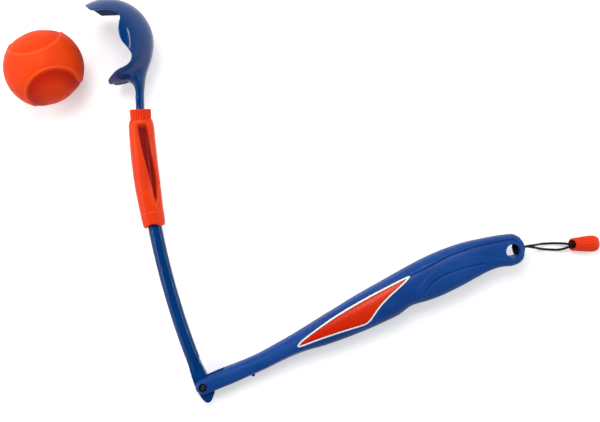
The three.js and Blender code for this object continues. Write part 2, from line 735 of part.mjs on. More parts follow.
// Shares of toggleLength and toggleRadius, from the mouth to the rounded end
const toggleShares = [
  [0, 0.66], [0.05, 0.73], [0.25, 0.82], [0.5, 0.92], [0.75, 0.99], [0.88, 1], [0.95, 0.9], [1, 0.55],
];

function toggle() {
  const curve = curveThrough(toggleShares);
  const rings = [];
  const sides = toggleFlutes * toggleFluteSides;
  for (let i = 0; i <= toggleSteps; i += 1) {
    const share = i / toggleSteps;
    const radius = curve(share)[0] * toggleRadius;
    const depth = toggleFluteDepth * Math.sin(Math.PI * share) ** (1 / 2);
    const ring = [];
    for (let j = 0; j < sides; j += 1) {
      const turn = (full * j) / sides;
      const groove = j % toggleFluteSides === 0 ? depth : 0;
      const reach = radius - groove;
      ring.push(new THREE.Vector3(share * toggleLength, reach * Math.cos(turn), reach * Math.sin(turn)));
    }
    rings.push(ring);
  }
  const bore = new THREE.CylinderGeometry(toggleBore, toggleBore, toggleBoreDepth + overrun, toggleBoreSides);
  bore.rotateZ(quarter).translate((toggleBoreDepth - overrun) / 2, 0, 0);
  return loft(rings).subtract(solidOf(bore));
}

// Ball with two long dishes, parted by a raised band that runs round it like a tennis ball's seam

// How far in from a dish's edge a direction lies, as an angle: each dish runs on from its middle towards the floor
function dishDepth(direction, dish) {
  const start = dish.towards.clone().normalize();
  const side = new THREE.Vector3(0, 0, -1).projectOnPlane(start).normalize();
  const reach = radians(dishReachDegrees);
  const along = THREE.MathUtils.clamp(Math.atan2(direction.dot(side), direction.dot(start)), 0, reach);
  const spine = start.multiplyScalar(Math.cos(along)).addScaledVector(side, Math.sin(along));
  return radians(dish.degrees) - direction.angleTo(spine);
}

function ball() {
  const geometry = new THREE.IcosahedronGeometry(ballRadius, ballDetail);
  geometry.deleteAttribute('normal');
  geometry.deleteAttribute('uv');
  const places = geometry.attributes.position;
  const point = new THREE.Vector3();
  for (let i = 0; i < places.count; i += 1) {
    point.fromBufferAttribute(places, i).normalize();
    let dip = 0;
    for (const dish of ballDishes) {
      const inside = dishDepth(point, dish) * ballRadius;
      const depth = dishMiddleDip + (dishDip - dishMiddleDip) * Math.exp(-Math.max(inside, 0) / dishFade);
      dip += depth * THREE.MathUtils.smoothstep(inside, -dishEdge / 2, dishEdge / 2);
    }
    point.multiplyScalar(ballRadius - dip);
    places.setXYZ(i, point.x, point.y, point.z);
  }
  return solidOf(geometry);
}

// Materials

function plastic(colour, roughness) {
  return new THREE.MeshStandardMaterial({ color: colour, roughness, metalness: 0 });
}

const armBlue = plastic(0x0a4690, 0.25);
const handleBlue = plastic(0x2450a4, 0.42);
const orange = plastic(0xf2501e, 0.4);
const badgeRed = plastic(0xee3c06, 0.45);
const badgeWhite = plastic(0xf4f2ee, 0.45);
const ballOrange = plastic(0xff5a1c, 0.7);
const cordBlack = plastic(0x101014, 0.9);
const steel = new THREE.MeshStandardMaterial({ color: 0x6b6660, roughness: 0.35, metalness: 1 });

function piece(name, solid, material, parent) {
  const mesh = new THREE.Mesh(geometryOf(solid), material);
  mesh.name = name;
  parent.add(mesh);
  return mesh;
}

// Assembly: handle and arm share the fold plane, which the resting points tilt against the floor

const launcher = new THREE.Group();
const handle = new THREE.Group();
const arm = new THREE.Group();
handle.rotation.z = radians(handleDegrees);
launcher.add(handle, arm);

const shells = handleShells();
piece('handle_shell_front', shells.front, handleBlue, handle);
const backShell = piece('handle_shell_back', shells.back, handleBlue, handle);
const badge = badgePieces();
piece('badge_border', badge.border, badgeWhite, handle);
piece('badge_panel', badge.panel, badgeRed, handle);
piece('pivot_screw', pivotScrew(), steel, handle);
piece('pivot_barrel_nut', pivotBarrel(), steel, handle);
const washerSeat = tongueThickness / 2 + fitGap + washerThickness / 2;
piece('pivot_washer_front', pivotWasher(), steel, handle).position.z = washerSeat;
piece('pivot_washer_back', pivotWasher(), steel, handle).position.z = -washerSeat;
const lanyardKnot = piece('lanyard_knot', knot(), cordBlack, handle);
const knotReach = hangHoleRadius - knotLength / 2 - fitGap;
const boreTurn = radians(cordBoreDegrees);
lanyardKnot.rotation.z = boreTurn;
lanyardKnot.position.set(
  hangHolePlace.along + knotReach * Math.cos(boreTurn),
  hangHolePlace.across + knotReach * Math.sin(boreTurn),
  0,
);

const armMesh = piece('throwing_arm', throwingArm(), armBlue, arm);
piece('lock_sleeve', lockSleeve(), orange, arm);
const ring = piece('sleeve_ring', sleeveRing(), orange, arm);
const ringPlace = sleeveLength + fitGap + ringLength / 2;
const ringTurn = Math.PI + radians(sleeveStartDegrees - ringPlace * degreesPerLength);
const ringOut = { x: Math.cos(ringTurn) * shaftArcRadius, y: Math.sin(ringTurn) * shaftArcRadius };
ring.position.set(arcCentre.x + ringOut.x, arcCentre.y + ringOut.y, 0);
const ringAcross = new THREE.Vector3(-Math.cos(ringTurn), -Math.sin(ringTurn), 0);
const ringUp = new THREE.Vector3(0, 0, 1);
ring.quaternion.setFromRotationMatrix(
  new THREE.Matrix4().makeBasis(ringAcross, ringUp, ringAcross.clone().cross(ringUp)),
);

// The floor touches three points: the fork's cheek, the handle's belly and the cup
function verticesOf(mesh, parent) {
  const places = mesh.geometry.attributes.position;
  parent.updateMatrix();
  return Array.from({ length: places.count }, (_, i) => (
    new THREE.Vector3().fromBufferAttribute(places, i).applyMatrix4(parent.matrix)
  ));
}

function lowest(points, up) {
  return points.reduce((low, point) => (point.dot(up) < low.dot(up) ? point : low));
}

const backPoints = verticesOf(backShell, handle);
const forkPoints = backPoints.filter((point) => point.length() < cavityStart);
const gripPoints = backPoints.filter((point) => point.length() > cavityStart);
const cupPoints = verticesOf(armMesh, arm).filter((point) => point.y > cupCentre.y - cupOuter);
const floorUp = ringUp.clone();
for (let i = 0; i < settleSteps; i += 1) {
  const foot = lowest(forkPoints, floorUp);
  const towardGrip = lowest(gripPoints, floorUp).clone().sub(foot);
  const towardCup = lowest(cupPoints, floorUp).clone().sub(foot);
  floorUp.crossVectors(towardGrip, towardCup).normalize();
}
launcher.quaternion.setFromUnitVectors(floorUp, ringUp);

const part = new THREE.Group();
part.add(launcher);
const ballMesh = piece('ball', ball(), ballOrange, part);
const ballTurnIn = radians(ballBearingDegrees);
const ballSpot = new THREE.Vector3(
  cupCentre.x + ballReach * Math.cos(ballTurnIn),
  cupCentre.y + ballReach * Math.sin(ballTurnIn),
  0,
).applyQuaternion(launcher.quaternion);
ballMesh.position.set(ballSpot.x, ballSpot.y, 0);

// The part stands on the floor, centred on the origin but for its lanyard
part.updateMatrixWorld(true);
const launcherBox = new THREE.Box3().setFromObject(launcher, true);
launcher.position.z = -launcherBox.min.z;
const ballBox = new THREE.Box3().setFromObject(ballMesh, true);
ballMesh.position.z = -ballBox.min.z;
const outerBox = launcherBox.union(ballBox);
for (const child of [launcher, ballMesh]) {
  child.position.x -= (outerBox.min.x + outerBox.max.x) / 2;
  child.position.y -= (outerBox.min.y + outerBox.max.y) / 2;
}

piece('lanyard_strand_upper', strand(upperRoute), cordBlack, part);
piece('lanyard_strand_lower', strand(lowerRoute), cordBlack, part);
const toggleGroup = new THREE.Group();
part.add(toggleGroup);
piece('lanyard_toggle', toggle(), orange, toggleGroup);
piece('toggle_knot', knot(), cordBlack, toggleGroup).position.x = toggleBoreDepth - fitGap - knotLength / 2;
toggleGroup.rotation.set(0, -radians(toggleTiltDegrees), radians(toggleTurnDegrees), 'ZYX');
toggleGroup.position.set(togglePlace.x, togglePlace.y, 0);
part.updateMatrixWorld(true);
toggleGroup.position.z = -new THREE.Box3().setFromObject(toggleGroup, true).min.z;

export default part;
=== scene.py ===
"""Dressed scene of a folding dog ball launcher, in metres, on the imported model's own frame.

The moulded pieces are level sets: a field is negative inside the piece, and its zero surface is meshed.
Shares of a table are of the driving lengths named beside it.
"""

import json
import math

import bpy
import numpy as np
from mathutils import Euler, Matrix, Vector


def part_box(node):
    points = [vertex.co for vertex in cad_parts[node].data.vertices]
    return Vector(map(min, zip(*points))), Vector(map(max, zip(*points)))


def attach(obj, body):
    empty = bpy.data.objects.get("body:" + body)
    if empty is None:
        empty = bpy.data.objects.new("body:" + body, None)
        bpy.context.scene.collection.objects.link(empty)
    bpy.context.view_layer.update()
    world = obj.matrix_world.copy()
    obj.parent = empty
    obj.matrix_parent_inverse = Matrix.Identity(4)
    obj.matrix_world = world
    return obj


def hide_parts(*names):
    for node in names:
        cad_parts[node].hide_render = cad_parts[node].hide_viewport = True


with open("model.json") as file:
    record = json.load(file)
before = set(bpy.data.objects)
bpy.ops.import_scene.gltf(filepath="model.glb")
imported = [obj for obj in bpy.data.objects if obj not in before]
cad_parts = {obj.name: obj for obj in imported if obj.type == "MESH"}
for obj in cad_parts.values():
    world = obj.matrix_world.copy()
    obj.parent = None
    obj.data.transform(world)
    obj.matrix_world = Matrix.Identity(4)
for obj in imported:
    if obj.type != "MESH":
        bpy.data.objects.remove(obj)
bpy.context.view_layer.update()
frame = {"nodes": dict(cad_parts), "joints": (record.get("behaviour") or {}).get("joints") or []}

# Camera, straight above the floor
CAMERA_PLACE = (0.02816, -0.00623, 0.915)
CAMERA_LENS = 65.0
CAMERA_SENSOR = 36.0

# Floor: its glow where the camera sees it, far off and in reflections, and where the far glow sets in
FLOOR_SIZE = 6.0
FLOOR_DROP = 0.0001
FLOOR_COLOUR = (0.93, 0.93, 0.935)
FLOOR_ROUGHNESS = 0.9
FLOOR_LIFT = 0.38
FAR_LIFT = 0.95
FAR_SPAN = (0.45, 1.0)
REFLECTED_LIFT = 0.05

# Surround: its diffuse light, what is seen of it overhead, and the rise between horizon and overhead
WORLD_LEVEL = 0.27
ZENITH_LEVEL = 0.05
OVERHEAD_SPAN = (0.12, 0.62)

# Lamps by place, size and power
LAMPS = (
    ("key", (-0.14, 0.5, 1.02), (0.55, 0.55), 7.0),
    ("left_strip", (-1.0, 0.1, 0.58), (1.3, 0.05), 6.2),
    ("right_strip", (0.95, 0.2, 0.6), (1.2, 0.045), 4.0),
)

# Clearances
FIT_GAP = 0.0003
SLIDE_GAP = 0.00045

# Mesh sizes, and the meshing's own limits
CELL = 0.00055
SLEEVE_CELL = 0.00042
BADGE_CELL = 0.0004
FINE_CELL = 0.0003
HARDWARE_CELL = 0.00014
PROBE = 0.00005
PROJECT_TURNS = 3
OUTLINE_STEPS = 5
LEAST_SQUARED_SLOPE = 0.04
LEAST_SHARE = 1e-6
TINY = 1e-12
TINY_SQUARE = 1e-18

# Ball: the bead round each dish, the step down into it, its bowl, and the shade painted in the dishes
BALL_RADIUS = 0.0325
BALL_DETAIL = 7
BALL_BEAD = 0.0002
BALL_BEAD_WIDTH = 0.0007
BALL_STEP = 0.0008
BALL_STEP_WIDTH = 0.0015
BALL_BOWL = 0.0012
BALL_BOWL_WALL = 0.014
BALL_SHADE_RISE = 0.0015
BALL_SHADE_FADE = 0.011

# Dishes: the middle's direction, radius and reach to the back in degrees, strength of the painted shade
BALL_DISHES = (
    {"centre": (-0.19, 0.8, 0.57), "radius": 39.2, "reach": 80.0, "shade": 0.2},
    {"centre": (0.405, -0.744, 0.531), "radius": 40.4, "reach": 70.0, "shade": 0.9},
)

# Cup, round the ball's seat: the ball comes in along its bearing, in degrees
CUP_SLACK = 0.0007
CUP_WALL = 0.0025
CUP_INNER = BALL_RADIUS + CUP_SLACK
CUP_OUTER = CUP_INNER + CUP_WALL
CUP_CENTRE = (-0.0748, 0.2836)
CUP_EDGE = 0.0011
BALL_BEARING = 200.7

# Shaft, on one arc from the neck to the pivot: it starts and ends at degrees of the arc
ARC_RADIUS = 0.665
SHAFT_START = 22.55
SHAFT_END = 1.2
SHAFT_THICKNESS = 0.0106
SHAFT_HINGE_WIDTH = 0.0114
SHAFT_NECK_WIDTH = 0.0066
SHAFT_ROUNDNESS = 2.5
SHAFT_TAPER_SHARE = 0.5
FACET_EDGE = 0.0012
ARC_CENTRE = (
    ARC_RADIUS * math.cos(math.radians(SHAFT_START)),
    ARC_RADIUS * math.sin(math.radians(SHAFT_START)),
)
ARC_DEGREE = math.radians(ARC_RADIUS)

# Neck between the shaft and the cup
NECK_LENGTH = 0.038
NECK_WIDTH = 0.022
NECK_FOOT_DROP = 0.05
NECK_BLEND = 0.004

# Hinge
TONGUE_THICKNESS = 0.0072
HEEL_LENGTH = 0.0146
SHOULDER_OFFSET = 0.0071
SHOULDER_HEIGHT = 0.0235
FLANK_END = 0.002
FORK_RADIUS = 0.0069
FORK_THICKNESS = 0.019
SLOT_DEPTH = 0.021
SLOT_WIDTH = 0.0096
BARREL_RADIUS = 0.0018
COUNTERBORE_RADIUS = 0.0032
COUNTERBORE_DEPTH = 0.0026
MOULD_EDGE = 0.0005

# Screw and barrel nut
BARREL_HEAD_RADIUS = 0.0028
BARREL_HEAD_THICKNESS = 0.0015
SCREW_HEAD_RADIUS = 0.0021
SCREW_HEAD_THICKNESS = 0.0016
SCREW_SHANK_RADIUS = 0.001
HEX_RADIUS = 0.0011
HEX_DEPTH = 0.0011
HEAD_RECESS = 0.0007
HEAD_EDGE = 0.0003

# Handle: hanging end, nub, crease, leaning flank, thumb swell, grip recess and groove
HANDLE_LENGTH = 0.2901
HANDLE_TURN = 23.5
GRIP_DEPTH = 0.035
BELLY_THICKNESS = 0.032
PARTING_GAP = 0.0003
PARTING_EDGE = 0.0003
HANG_RADIUS = 0.0056
HANG_INSET = 0.0111
HANG_ACROSS = 0.0031
CORD_BORE_RADIUS = 0.0025
CORD_BORE_TURN = -9
NUB_RADIUS = 0.0016
NUB_PLACE = (0.0416, -0.0081)
CREASE_DROP = 0.0008
CREASE_WIDTH = 0.002
CREASE_FADE = (0.042, 0.064)
FLANK_DRAFT = 17.0
FLANK_FADE = (-0.012, 0.048, 0.085, 0.13)
FLANK_FADE_DROP = 0.004
THUMB_SWELL = 0.0009
THUMB_RADIUS = 0.0052
THUMB_PLACE = (0.172, -0.0018)
RECESS_DEPTH = 0.001
RECESS_EDGE = 0.001
RECESS_FADE = (0.192, 0.212)
GROOVE_WIDTH = 0.0022
GROOVE_DEPTH = 0.0011
GROOVE_ROUNDNESS = 1.5
GROOVE_STEPS = 30

# Badge
BADGE_DEPTH = 0.0012
BADGE_STAND = 0.0003
BADGE_BORDER = 0.0013

# Lock sleeve, from a degree of the shaft's arc: its scoop, its seam and its lower mouth
SLEEVE_LENGTH = 0.089
SLEEVE_WIDTH = 0.0212
SLEEVE_START = 10.55
SLEEVE_ROUNDNESS = 2.2
SCOOP_SLOPE_DROP = 0.0017
SCOOP_WELL_DROP = 0.0021
SCOOP_TOP = (0.9, 0.975)
SCOOP_FOOT = (0.18, 0.2)
SCOOP_WELL_EDGE = 7.0
SCOOP_WALL_EDGE = 6.0
SEAM_PLACE = 0.0134
SEAM_DEPTH = 0.0002
SEAM_WIDTH = 0.0004
MOUTH_SCOOP = 0.0026
MOUTH_SCOOP_RADIUS = 0.007
SLEEVE_EDGE = 0.0006
BORE_HALF_WIDTH = SHAFT_HINGE_WIDTH / 2 + SLIDE_GAP
BORE_HALF_THICKNESS = SHAFT_THICKNESS / 2 + SLIDE_GAP

# Ring
RING_LENGTH = 0.0082
RING_RADIUS = 0.0086
RING_FLUTES = 26
FLUTE_DEPTH = 0.0008
RING_FLUTE_SHARPNESS = 2

# Lanyard
CORD_DIAMETER = 0.002
CORD_SIDES = 24
CORD_STEP = 0.00035
CORD_END_SHARE = 0.6
ROUTE_STEPS = 16
CORD_RELIEF = 0.00007
BRAID_THREADS = 4
BRAID_PITCH = 0.0036
KNOT_RADIUS = 0.0031
KNOT_LENGTH = 0.0044
KNOT_TURNS = 2.2
KNOT_RELIEF = 0.0006
KNOT_ROUNDNESS = 3
KNOT_END = 0.0003
STOPPER_LENGTH = 0.0094
STOPPER_RADIUS = 0.0025
STOPPER_TURNS = 4.7
TOGGLE_LENGTH = 0.0255
TOGGLE_RADIUS = 0.0069
TOGGLE_FLUTES = 14
TOGGLE_FLUTE_DEPTH = 0.0006
TOGGLE_FLUTE_SHARPNESS = 6
TOGGLE_MOUTH_LEAN = 38.0
TOGGLE_BORE = 0.0034
TOGGLE_BORE_DEPTH = 0.013
TOGGLE_PLACE = (0.2537, -0.0345)
TOGGLE_TURN = 3
TOGGLE_TILT = 4.5

# Looks: noise scales are in waves per metre, and a tone or roughness runs over a noise's middle span
NOISE_DETAIL = 3.0
NOISE_SPAN = (0.3, 0.7)
TONE_SCALE = 30
GRAIN_DETAIL = 2
# Pointiness over this span paints a highlight on sharp edges, in each look's paler edge colour
EDGE_HIGHLIGHT_SPAN = (0.53, 0.62)
PLASTIC_FLOW = {"flow_scale": 160, "flow_detail": 5, "grain_depth": 0.00005}
# The dark well colour of a look is painted shade, laid in the wells that the pieces mark
ARM_LOOK = {
    "deep": (0.0003, 0.036, 0.165), "light": (0.0006, 0.046, 0.2), "edge_highlight": (0.004, 0.08, 0.3),
    "roughness": (0.06, 0.11), "grain": 0.05, "grain_scale": 1500, **PLASTIC_FLOW,
    "shader": {"Specular IOR Level": 0.26},
}
HANDLE_LOOK = {
    "deep": (0.005, 0.048, 0.235), "light": (0.01, 0.068, 0.3), "edge_highlight": (0.03, 0.12, 0.45),
    "well_shade": (0.001, 0.004, 0.02),
    "roughness": (0.28, 0.38), "grain": 0.3, "grain_scale": 2600, **PLASTIC_FLOW,
    "shader": {"Specular IOR Level": 0.14},
}
ORANGE_LOOK = {
    "deep": (0.78, 0.034, 0.001), "light": (0.88, 0.052, 0.002), "edge_highlight": (0.98, 0.12, 0.015),
    "well_shade": (0.26, 0.001, 0.0005),
    "roughness": (0.3, 0.4), "grain": 0.25, "grain_scale": 2200, **PLASTIC_FLOW,
    "shader": {
        "Specular IOR Level": 0.2, "Subsurface Weight": 0.08,
        "Subsurface Radius": (1.0, 0.2, 0.05), "Subsurface Scale": 0.0015,
    },
}
BORDER_LOOK = {
    "deep": (0.87, 0.85, 0.85), "light": (0.92, 0.9, 0.9), "edge_highlight": (0.95, 0.95, 0.94),
    "roughness": (0.32, 0.42), "grain": 0.15, "grain_scale": 2600, **PLASTIC_FLOW, "shader": {},
}
# The badge field's two colours are painted shading: darker red at the hinge end, lighter orange at the grip
# end
FIELD_LOOK = {
    "shaded_hinge_end": (0.62, 0.008, 0.0005), "lit_grip_end": (0.72, 0.035, 0.001),
    "roughness": (0.26, 0.34), "flow_scale": 300, "flow_detail": 4,
    "grain": 0.15, "grain_scale": 2600, "grain_depth": 0.00004,
    "shader": {"Specular IOR Level": 0.2},
}
RUBBER_LOOK = {
    "deep": (0.84, 0.046, 0.001), "light": (0.92, 0.064, 0.002), "tone_scale": 45, "tone_detail": 4,
    # The shaded colour is painted shade down in the dishes, and the rim colour a painted highlight on their
    # beads
    "shaded": (0.5, 0.004, 0.0005), "rim": (1.0, 0.16, 0.03), "rim_highlight_share": 0.5,
    "roughness": (0.48, 0.62), "flow_scale": 220, "flow_detail": 4,
    "grain": 0.5, "grain_depth": 0.00018, "stipple_scale": 750, "stipple_span": (0.15, 1),
    "shader": {
        "Specular IOR Level": 0.14, "Subsurface Weight": 0.1,
        "Subsurface Radius": (1.0, 0.25, 0.08), "Subsurface Scale": 0.002,
    },
}
CORD_LOOK = {
    "deep": (0.002, 0.002, 0.0025), "light": (0.009, 0.009, 0.011), "braid_span": (-0.2, 1),
    "roughness": (0.55, 0.75), "flow_scale": 3000, "flow_detail": 3,
    "grain": 0.4, "grain_scale": 5000, "grain_depth": 0.0001,
    "shader": {"Specular IOR Level": 0.2, "Sheen Weight": 0.05},
}
STEEL_LOOK = {
    "deep": (0.09, 0.085, 0.08), "light": (0.2, 0.19, 0.185), "tone_scale": 900, "tone_detail": 4,
    "roughness": (0.3, 0.5), "flow_scale": 1500, "flow_detail": 4,
    "grain": 0.2, "grain_scale": 4000, "grain_depth": 0.00003,
    "shader": {"Metallic": 1},
}

# Places each strand passes from the handle's knot into the toggle
UPPER_ROUTE = [
    (0.2078, -0.0371, 0.0229), (0.2104, -0.0364, 0.023), (0.2131, -0.0357, 0.023),
    (0.2159, -0.0351, 0.0226), (0.2187, -0.0347, 0.0214), (0.2214, -0.0345, 0.019),
    (0.2237, -0.0344, 0.0159), (0.2258, -0.0342, 0.0124), (0.2279, -0.0341, 0.0088),
    (0.2303, -0.0339, 0.0053), (0.2334, -0.0337, 0.0026), (0.2372, -0.0336, 0.0013),
    (0.241, -0.0334, 0.0012), (0.2446, -0.0334, 0.0019), (0.2478, -0.0334, 0.0033),
    (0.2508, -0.0336, 0.0047), (0.2537, -0.034, 0.0054), (0.2579, -0.0336, 0.0058),
    (0.2616, -0.0333, 0.0061),
]
LOWER_ROUTE = [
    (0.2078, -0.0369, 0.0206), (0.2104, -0.0362, 0.0207), (0.2131, -0.0356, 0.0207),
    (0.2157, -0.0356, 0.0202), (0.2183, -0.0359, 0.0188), (0.2206, -0.0363, 0.0165),
    (0.2226, -0.0366, 0.0135), (0.2246, -0.0369, 0.0101), (0.2267, -0.0373, 0.0068),
    (0.2294, -0.0378, 0.0039), (0.2328, -0.0383, 0.0019), (0.2368, -0.0386, 0.0012),
    (0.2408, -0.0388, 0.0012), (0.2444, -0.0389, 0.0019), (0.2476, -0.0385, 0.0032),
    (0.2506, -0.0377, 0.0044), (0.2537, -0.0365, 0.005), (0.2579, -0.036, 0.0054),
    (0.2616, -0.0357, 0.0058),
]

# Shares along HANDLE_LENGTH, spine and palm of GRIP_DEPTH, side of half BELLY_THICKNESS; then roundness
HANDLE_SHARES = [
    (0, 0.197, -0.197, 0.594, 3.4), (0.055, 0.203, -0.206, 0.594, 3.3), (0.114, 0.189, -0.22, 0.588, 2.9),
    (0.179, 0.194, -0.226, 0.6, 2.5), (0.238, 0.24, -0.197, 0.663, 2.4), (0.279, 0.277, -0.191, 0.725, 2.4),
    (0.327, 0.331, -0.209, 0.806, 2.4), (0.379, 0.397, -0.249, 0.888, 2.5), (0.434, 0.463, -0.277, 0.95, 2.5),
    (0.493, 0.537, -0.291, 0.994, 2.5), (0.548, 0.591, -0.286, 1, 2.5), (0.593, 0.632, -0.263, 0.969, 2.6),
    (0.641, 0.677, -0.183, 0.9, 2.6), (0.683, 0.713, -0.223, 0.863, 2.7), (0.72, 0.736, -0.243, 0.838, 2.8),
    (0.782, 0.742, -0.226, 0.788, 2.8), (0.845, 0.7, -0.174, 0.744, 2.9), (0.882, 0.643, -0.151, 0.713, 3),
    (0.913, 0.589, -0.171, 0.694, 3), (0.952, 0.509, -0.26, 0.688, 3), (0.972, 0.46, -0.243, 0.681, 3),
    (0.984, 0.417, -0.183, 0.65, 2.8), (0.992, 0.351, -0.077, 0.581, 2.6), (0.998, 0.257, 0.026, 0.45, 2.4),
    (1, 0.166, 0.109, 0.25, 2.2),
]

# Shares of HANDLE_LENGTH and GRIP_DEPTH: the crease under the spine, the grip recess, its groove, the badge
CREASE_SHARES = [
    (0.12, 0.13), (0.193, 0.172), (0.231, 0.19), (0.262, 0.209), (0.309, 0.239), (0.34, 0.276),
    (0.369, 0.324), (0.413, 0.4), (0.457, 0.46), (0.499, 0.507), (0.541, 0.543), (0.582, 0.563),
    (0.622, 0.566), (0.663, 0.566), (0.708, 0.577), (0.747, 0.605), (0.781, 0.625), (0.818, 0.622),
    (0.853, 0.598), (0.892, 0.552), (0.93, 0.49), (0.955, 0.442), (0.975, 0.385), (1, 0.3),
]
RECESS_OUTLINE = [
    (0.66, 0.5), (0.705, 0.54), (0.747, 0.57), (0.781, 0.592), (0.818, 0.588), (0.853, 0.562),
    (0.892, 0.518), (0.93, 0.455), (0.955, 0.41), (0.974, 0.35), (0.986, 0.25), (0.987, 0.1),
    (0.978, -0.03), (0.962, -0.105), (0.944, -0.1), (0.93, -0.03), (0.908, 0.087), (0.886, 0.205),
    (0.863, 0.293), (0.839, 0.364), (0.814, 0.41), (0.783, 0.432), (0.76, 0.42), (0.735, 0.378),
    (0.709, 0.31), (0.685, 0.21), (0.662, 0.1),
]
GROOVE_SHARES = [
    (0.69, 0.045), (0.707, 0.122), (0.729, 0.18), (0.758, 0.208), (0.785, 0.206), (0.812, 0.186),
    (0.842, 0.145), (0.873, 0.084),
]
BADGE_OUTLINE = [
    (0.2965, 0.035), (0.302, 0.085), (0.319, 0.145), (0.365, 0.243), (0.409, 0.322), (0.452, 0.382),
    (0.495, 0.431), (0.536, 0.468), (0.577, 0.497), (0.619, 0.522), (0.65, 0.537), (0.664, 0.533),
    (0.667, 0.508), (0.653, 0.445), (0.63, 0.376), (0.597, 0.283), (0.569, 0.19), (0.548, 0.098),
    (0.531, 0.006), (0.515, -0.078), (0.5, -0.116), (0.481, -0.106), (0.444, -0.073), (0.39, -0.036),
    (0.351, -0.019), (0.316, -0.011), (0.302, 0),
]

# Shares of HEEL_LENGTH round the tongue and heel
TONGUE_SHARES = [
    (-0.36, 1.72), (-0.22, 1.47), (-0.01, 1.03), (0.22, 0.58), (0.5, 0.1), (0.63, -0.15), (0.63, -0.33),
    (0.56, -0.6), (0.43, -0.86), (0.25, -0.965), (0.06, -0.885), (-0.12, -0.68), (-0.32, -0.35), (-0.49, 0),
    (-0.6, 0.31), (-0.69, 0.59), (-0.82, 1.1), (-0.94, 1.58), (-0.93, 1.72),
]

# The shaft's facets, front and back: side, share of the half width where each leaves the top, and its lean
SHAFT_FACETS = ((-1, 0.22, 28), (-1, 0.46, 52), (1, 0.5, 31))

# Shares up NECK_LENGTH, left and right of NECK_WIDTH, depth of SHAFT_THICKNESS; then roundness
NECK_SHARES = [
    (0, 0.955, 1.255, 0.5, 2.5), (0.16, 0.947, 1.249, 0.5, 2.5), (0.31, 0.935, 1.266, 0.58, 2.4),
    (0.42, 0.86, 1.285, 0.76, 2.3), (0.5, 0.73, 1.3, 0.97, 2.2), (0.6, 0.55, 1.33, 1.1, 2.2),
    (0.75, 0.6, 1.39, 1.08, 2.2), (0.9, 0.85, 1.44, 0.9, 2.2), (1, 1.15, 1.47, 0.7, 2.2),
]

# Shares of CUP_OUTER: the cup's front edge from the lower prong up, then the slot under it
MOUTH_SHARES = [
    (-0.03, -1.02), (0.03, -0.88), (0.084, -0.815), (0.162, -0.74), (0.249, -0.664), (0.347, -0.602),
    (0.437, -0.557), (0.529, -0.496), (0.585, -0.417), (0.611, -0.339), (0.605, -0.266), (0.566, -0.19),
    (0.501, -0.104), (0.431, -0.014), (0.381, 0.104), (0.359, 0.227), (0.356, 0.305), (0.364, 0.417),
    (0.373, 0.496), (0.353, 0.569), (0.289, 0.63), (0.21, 0.669), (0.12, 0.686), (-0.034, 0.683),
    (-0.193, 0.678), (-0.291, 0.672), (-0.4, 0.743), (-0.5, 0.82), (-0.6, 1.02),
]
MOUTH_FAR = 2.0
PRONG_SHARES = [
    (-0.4, 0.3), (0.03, 0.28), (0.1, 0.265), (0.2, 0.255), (0.31, 0.24), (0.4, 0.21), (0.462, 0.16),
    (0.5, 0.06),
]

# Shares up the sleeve from its lower mouth, of half SLEEVE_WIDTH
SLEEVE_SHARES = [
    (0, 0.78), (0.012, 0.83), (0.04, 0.87), (0.08, 0.89), (0.16, 0.915), (0.35, 0.98), (0.6, 1), (0.85, 0.98),
    (0.93, 0.965), (0.96, 0.94), (0.985, 0.88), (1, 0.83),
]

# Up the sleeve: where the scoop's slope starts, where its well starts and where its wall ends, in degrees
SCOOP_SHARES = [
    (0.185, 25, 46, 24), (0.2, 19, 45, 31), (0.22, 13.5, 44, 38.5), (0.24, 10, 43, 43),
    (0.268, 5, 39.5, 47.5), (0.337, -4, 35, 53.5), (0.406, -9.7, 30.5, 57.5), (0.475, -12.8, 25, 59),
    (0.543, -15.5, 19, 58.5), (0.64, -18.7, 10, 55.5), (0.712, -21, 2.6, 53), (0.82, -21.8, -4.6, 47),
    (0.892, -20.5, -9.7, 40), (0.93, -18, -8, 35), (0.964, -15, -5, 29), (1, -12, 0, 25),
]

# Shares of TOGGLE_LENGTH and TOGGLE_RADIUS, from the mouth to the rounded end
TOGGLE_SHARES = [
    (0, 0.66), (0.05, 0.72), (0.25, 0.82), (0.5, 0.93), (0.65, 0.985), (0.74, 1), (0.82, 0.97), (0.89, 0.87),
    (0.94, 0.74), (0.98, 0.52), (1, 0.3),
]


# Curves and outlines


def through(table):
    """A smooth function through a table's rows, whose first column is the place."""
    rows = np.array(table, float)
    places, values = rows[:, 0], rows[:, 1:]
    slopes = np.gradient(values, places, axis=0)

    def at(place):
        n = np.clip(np.searchsorted(places, place, side="right") - 1, 0, len(places) - 2)
        width = places[n + 1] - places[n]
        t = (place - places[n]) / width
        columns = []
        for value, slope in zip(values.T, slopes.T):
            a, b = value[n], value[n + 1]
            da, db = slope[n] * width, slope[n + 1] * width
            columns.append(a + t * (da + t * (3 * (b - a) - 2 * da - db + t * (da + db - 2 * (b - a)))))
        return columns

    return at


def between(a, b, c, d, t):
    """A smooth curve's place at the share t of the way from b to c, with a before them and d after."""
    return (
        b
        + t * (c - a) / 2
        + t**2 * (2 * a - 5 * b + 4 * c - d) / 2
        + t**3 * (3 * b - a - 3 * c + d) / 2
    )


def rounded_outline(points, closed=True):
    """A smooth curve through the points, closed or from the first to the last."""
    points = np.array(points, float)
    around = [np.roll(points, shift, 0) for shift in (1, 0, -1, -2)]
    rows = [between(*around, t) for t in np.linspace(0, 1, OUTLINE_STEPS, endpoint=False)]
    curve = np.stack(rows, 1).reshape(-1, 2)
    return curve if closed else curve[: -OUTLINE_STEPS + 1]


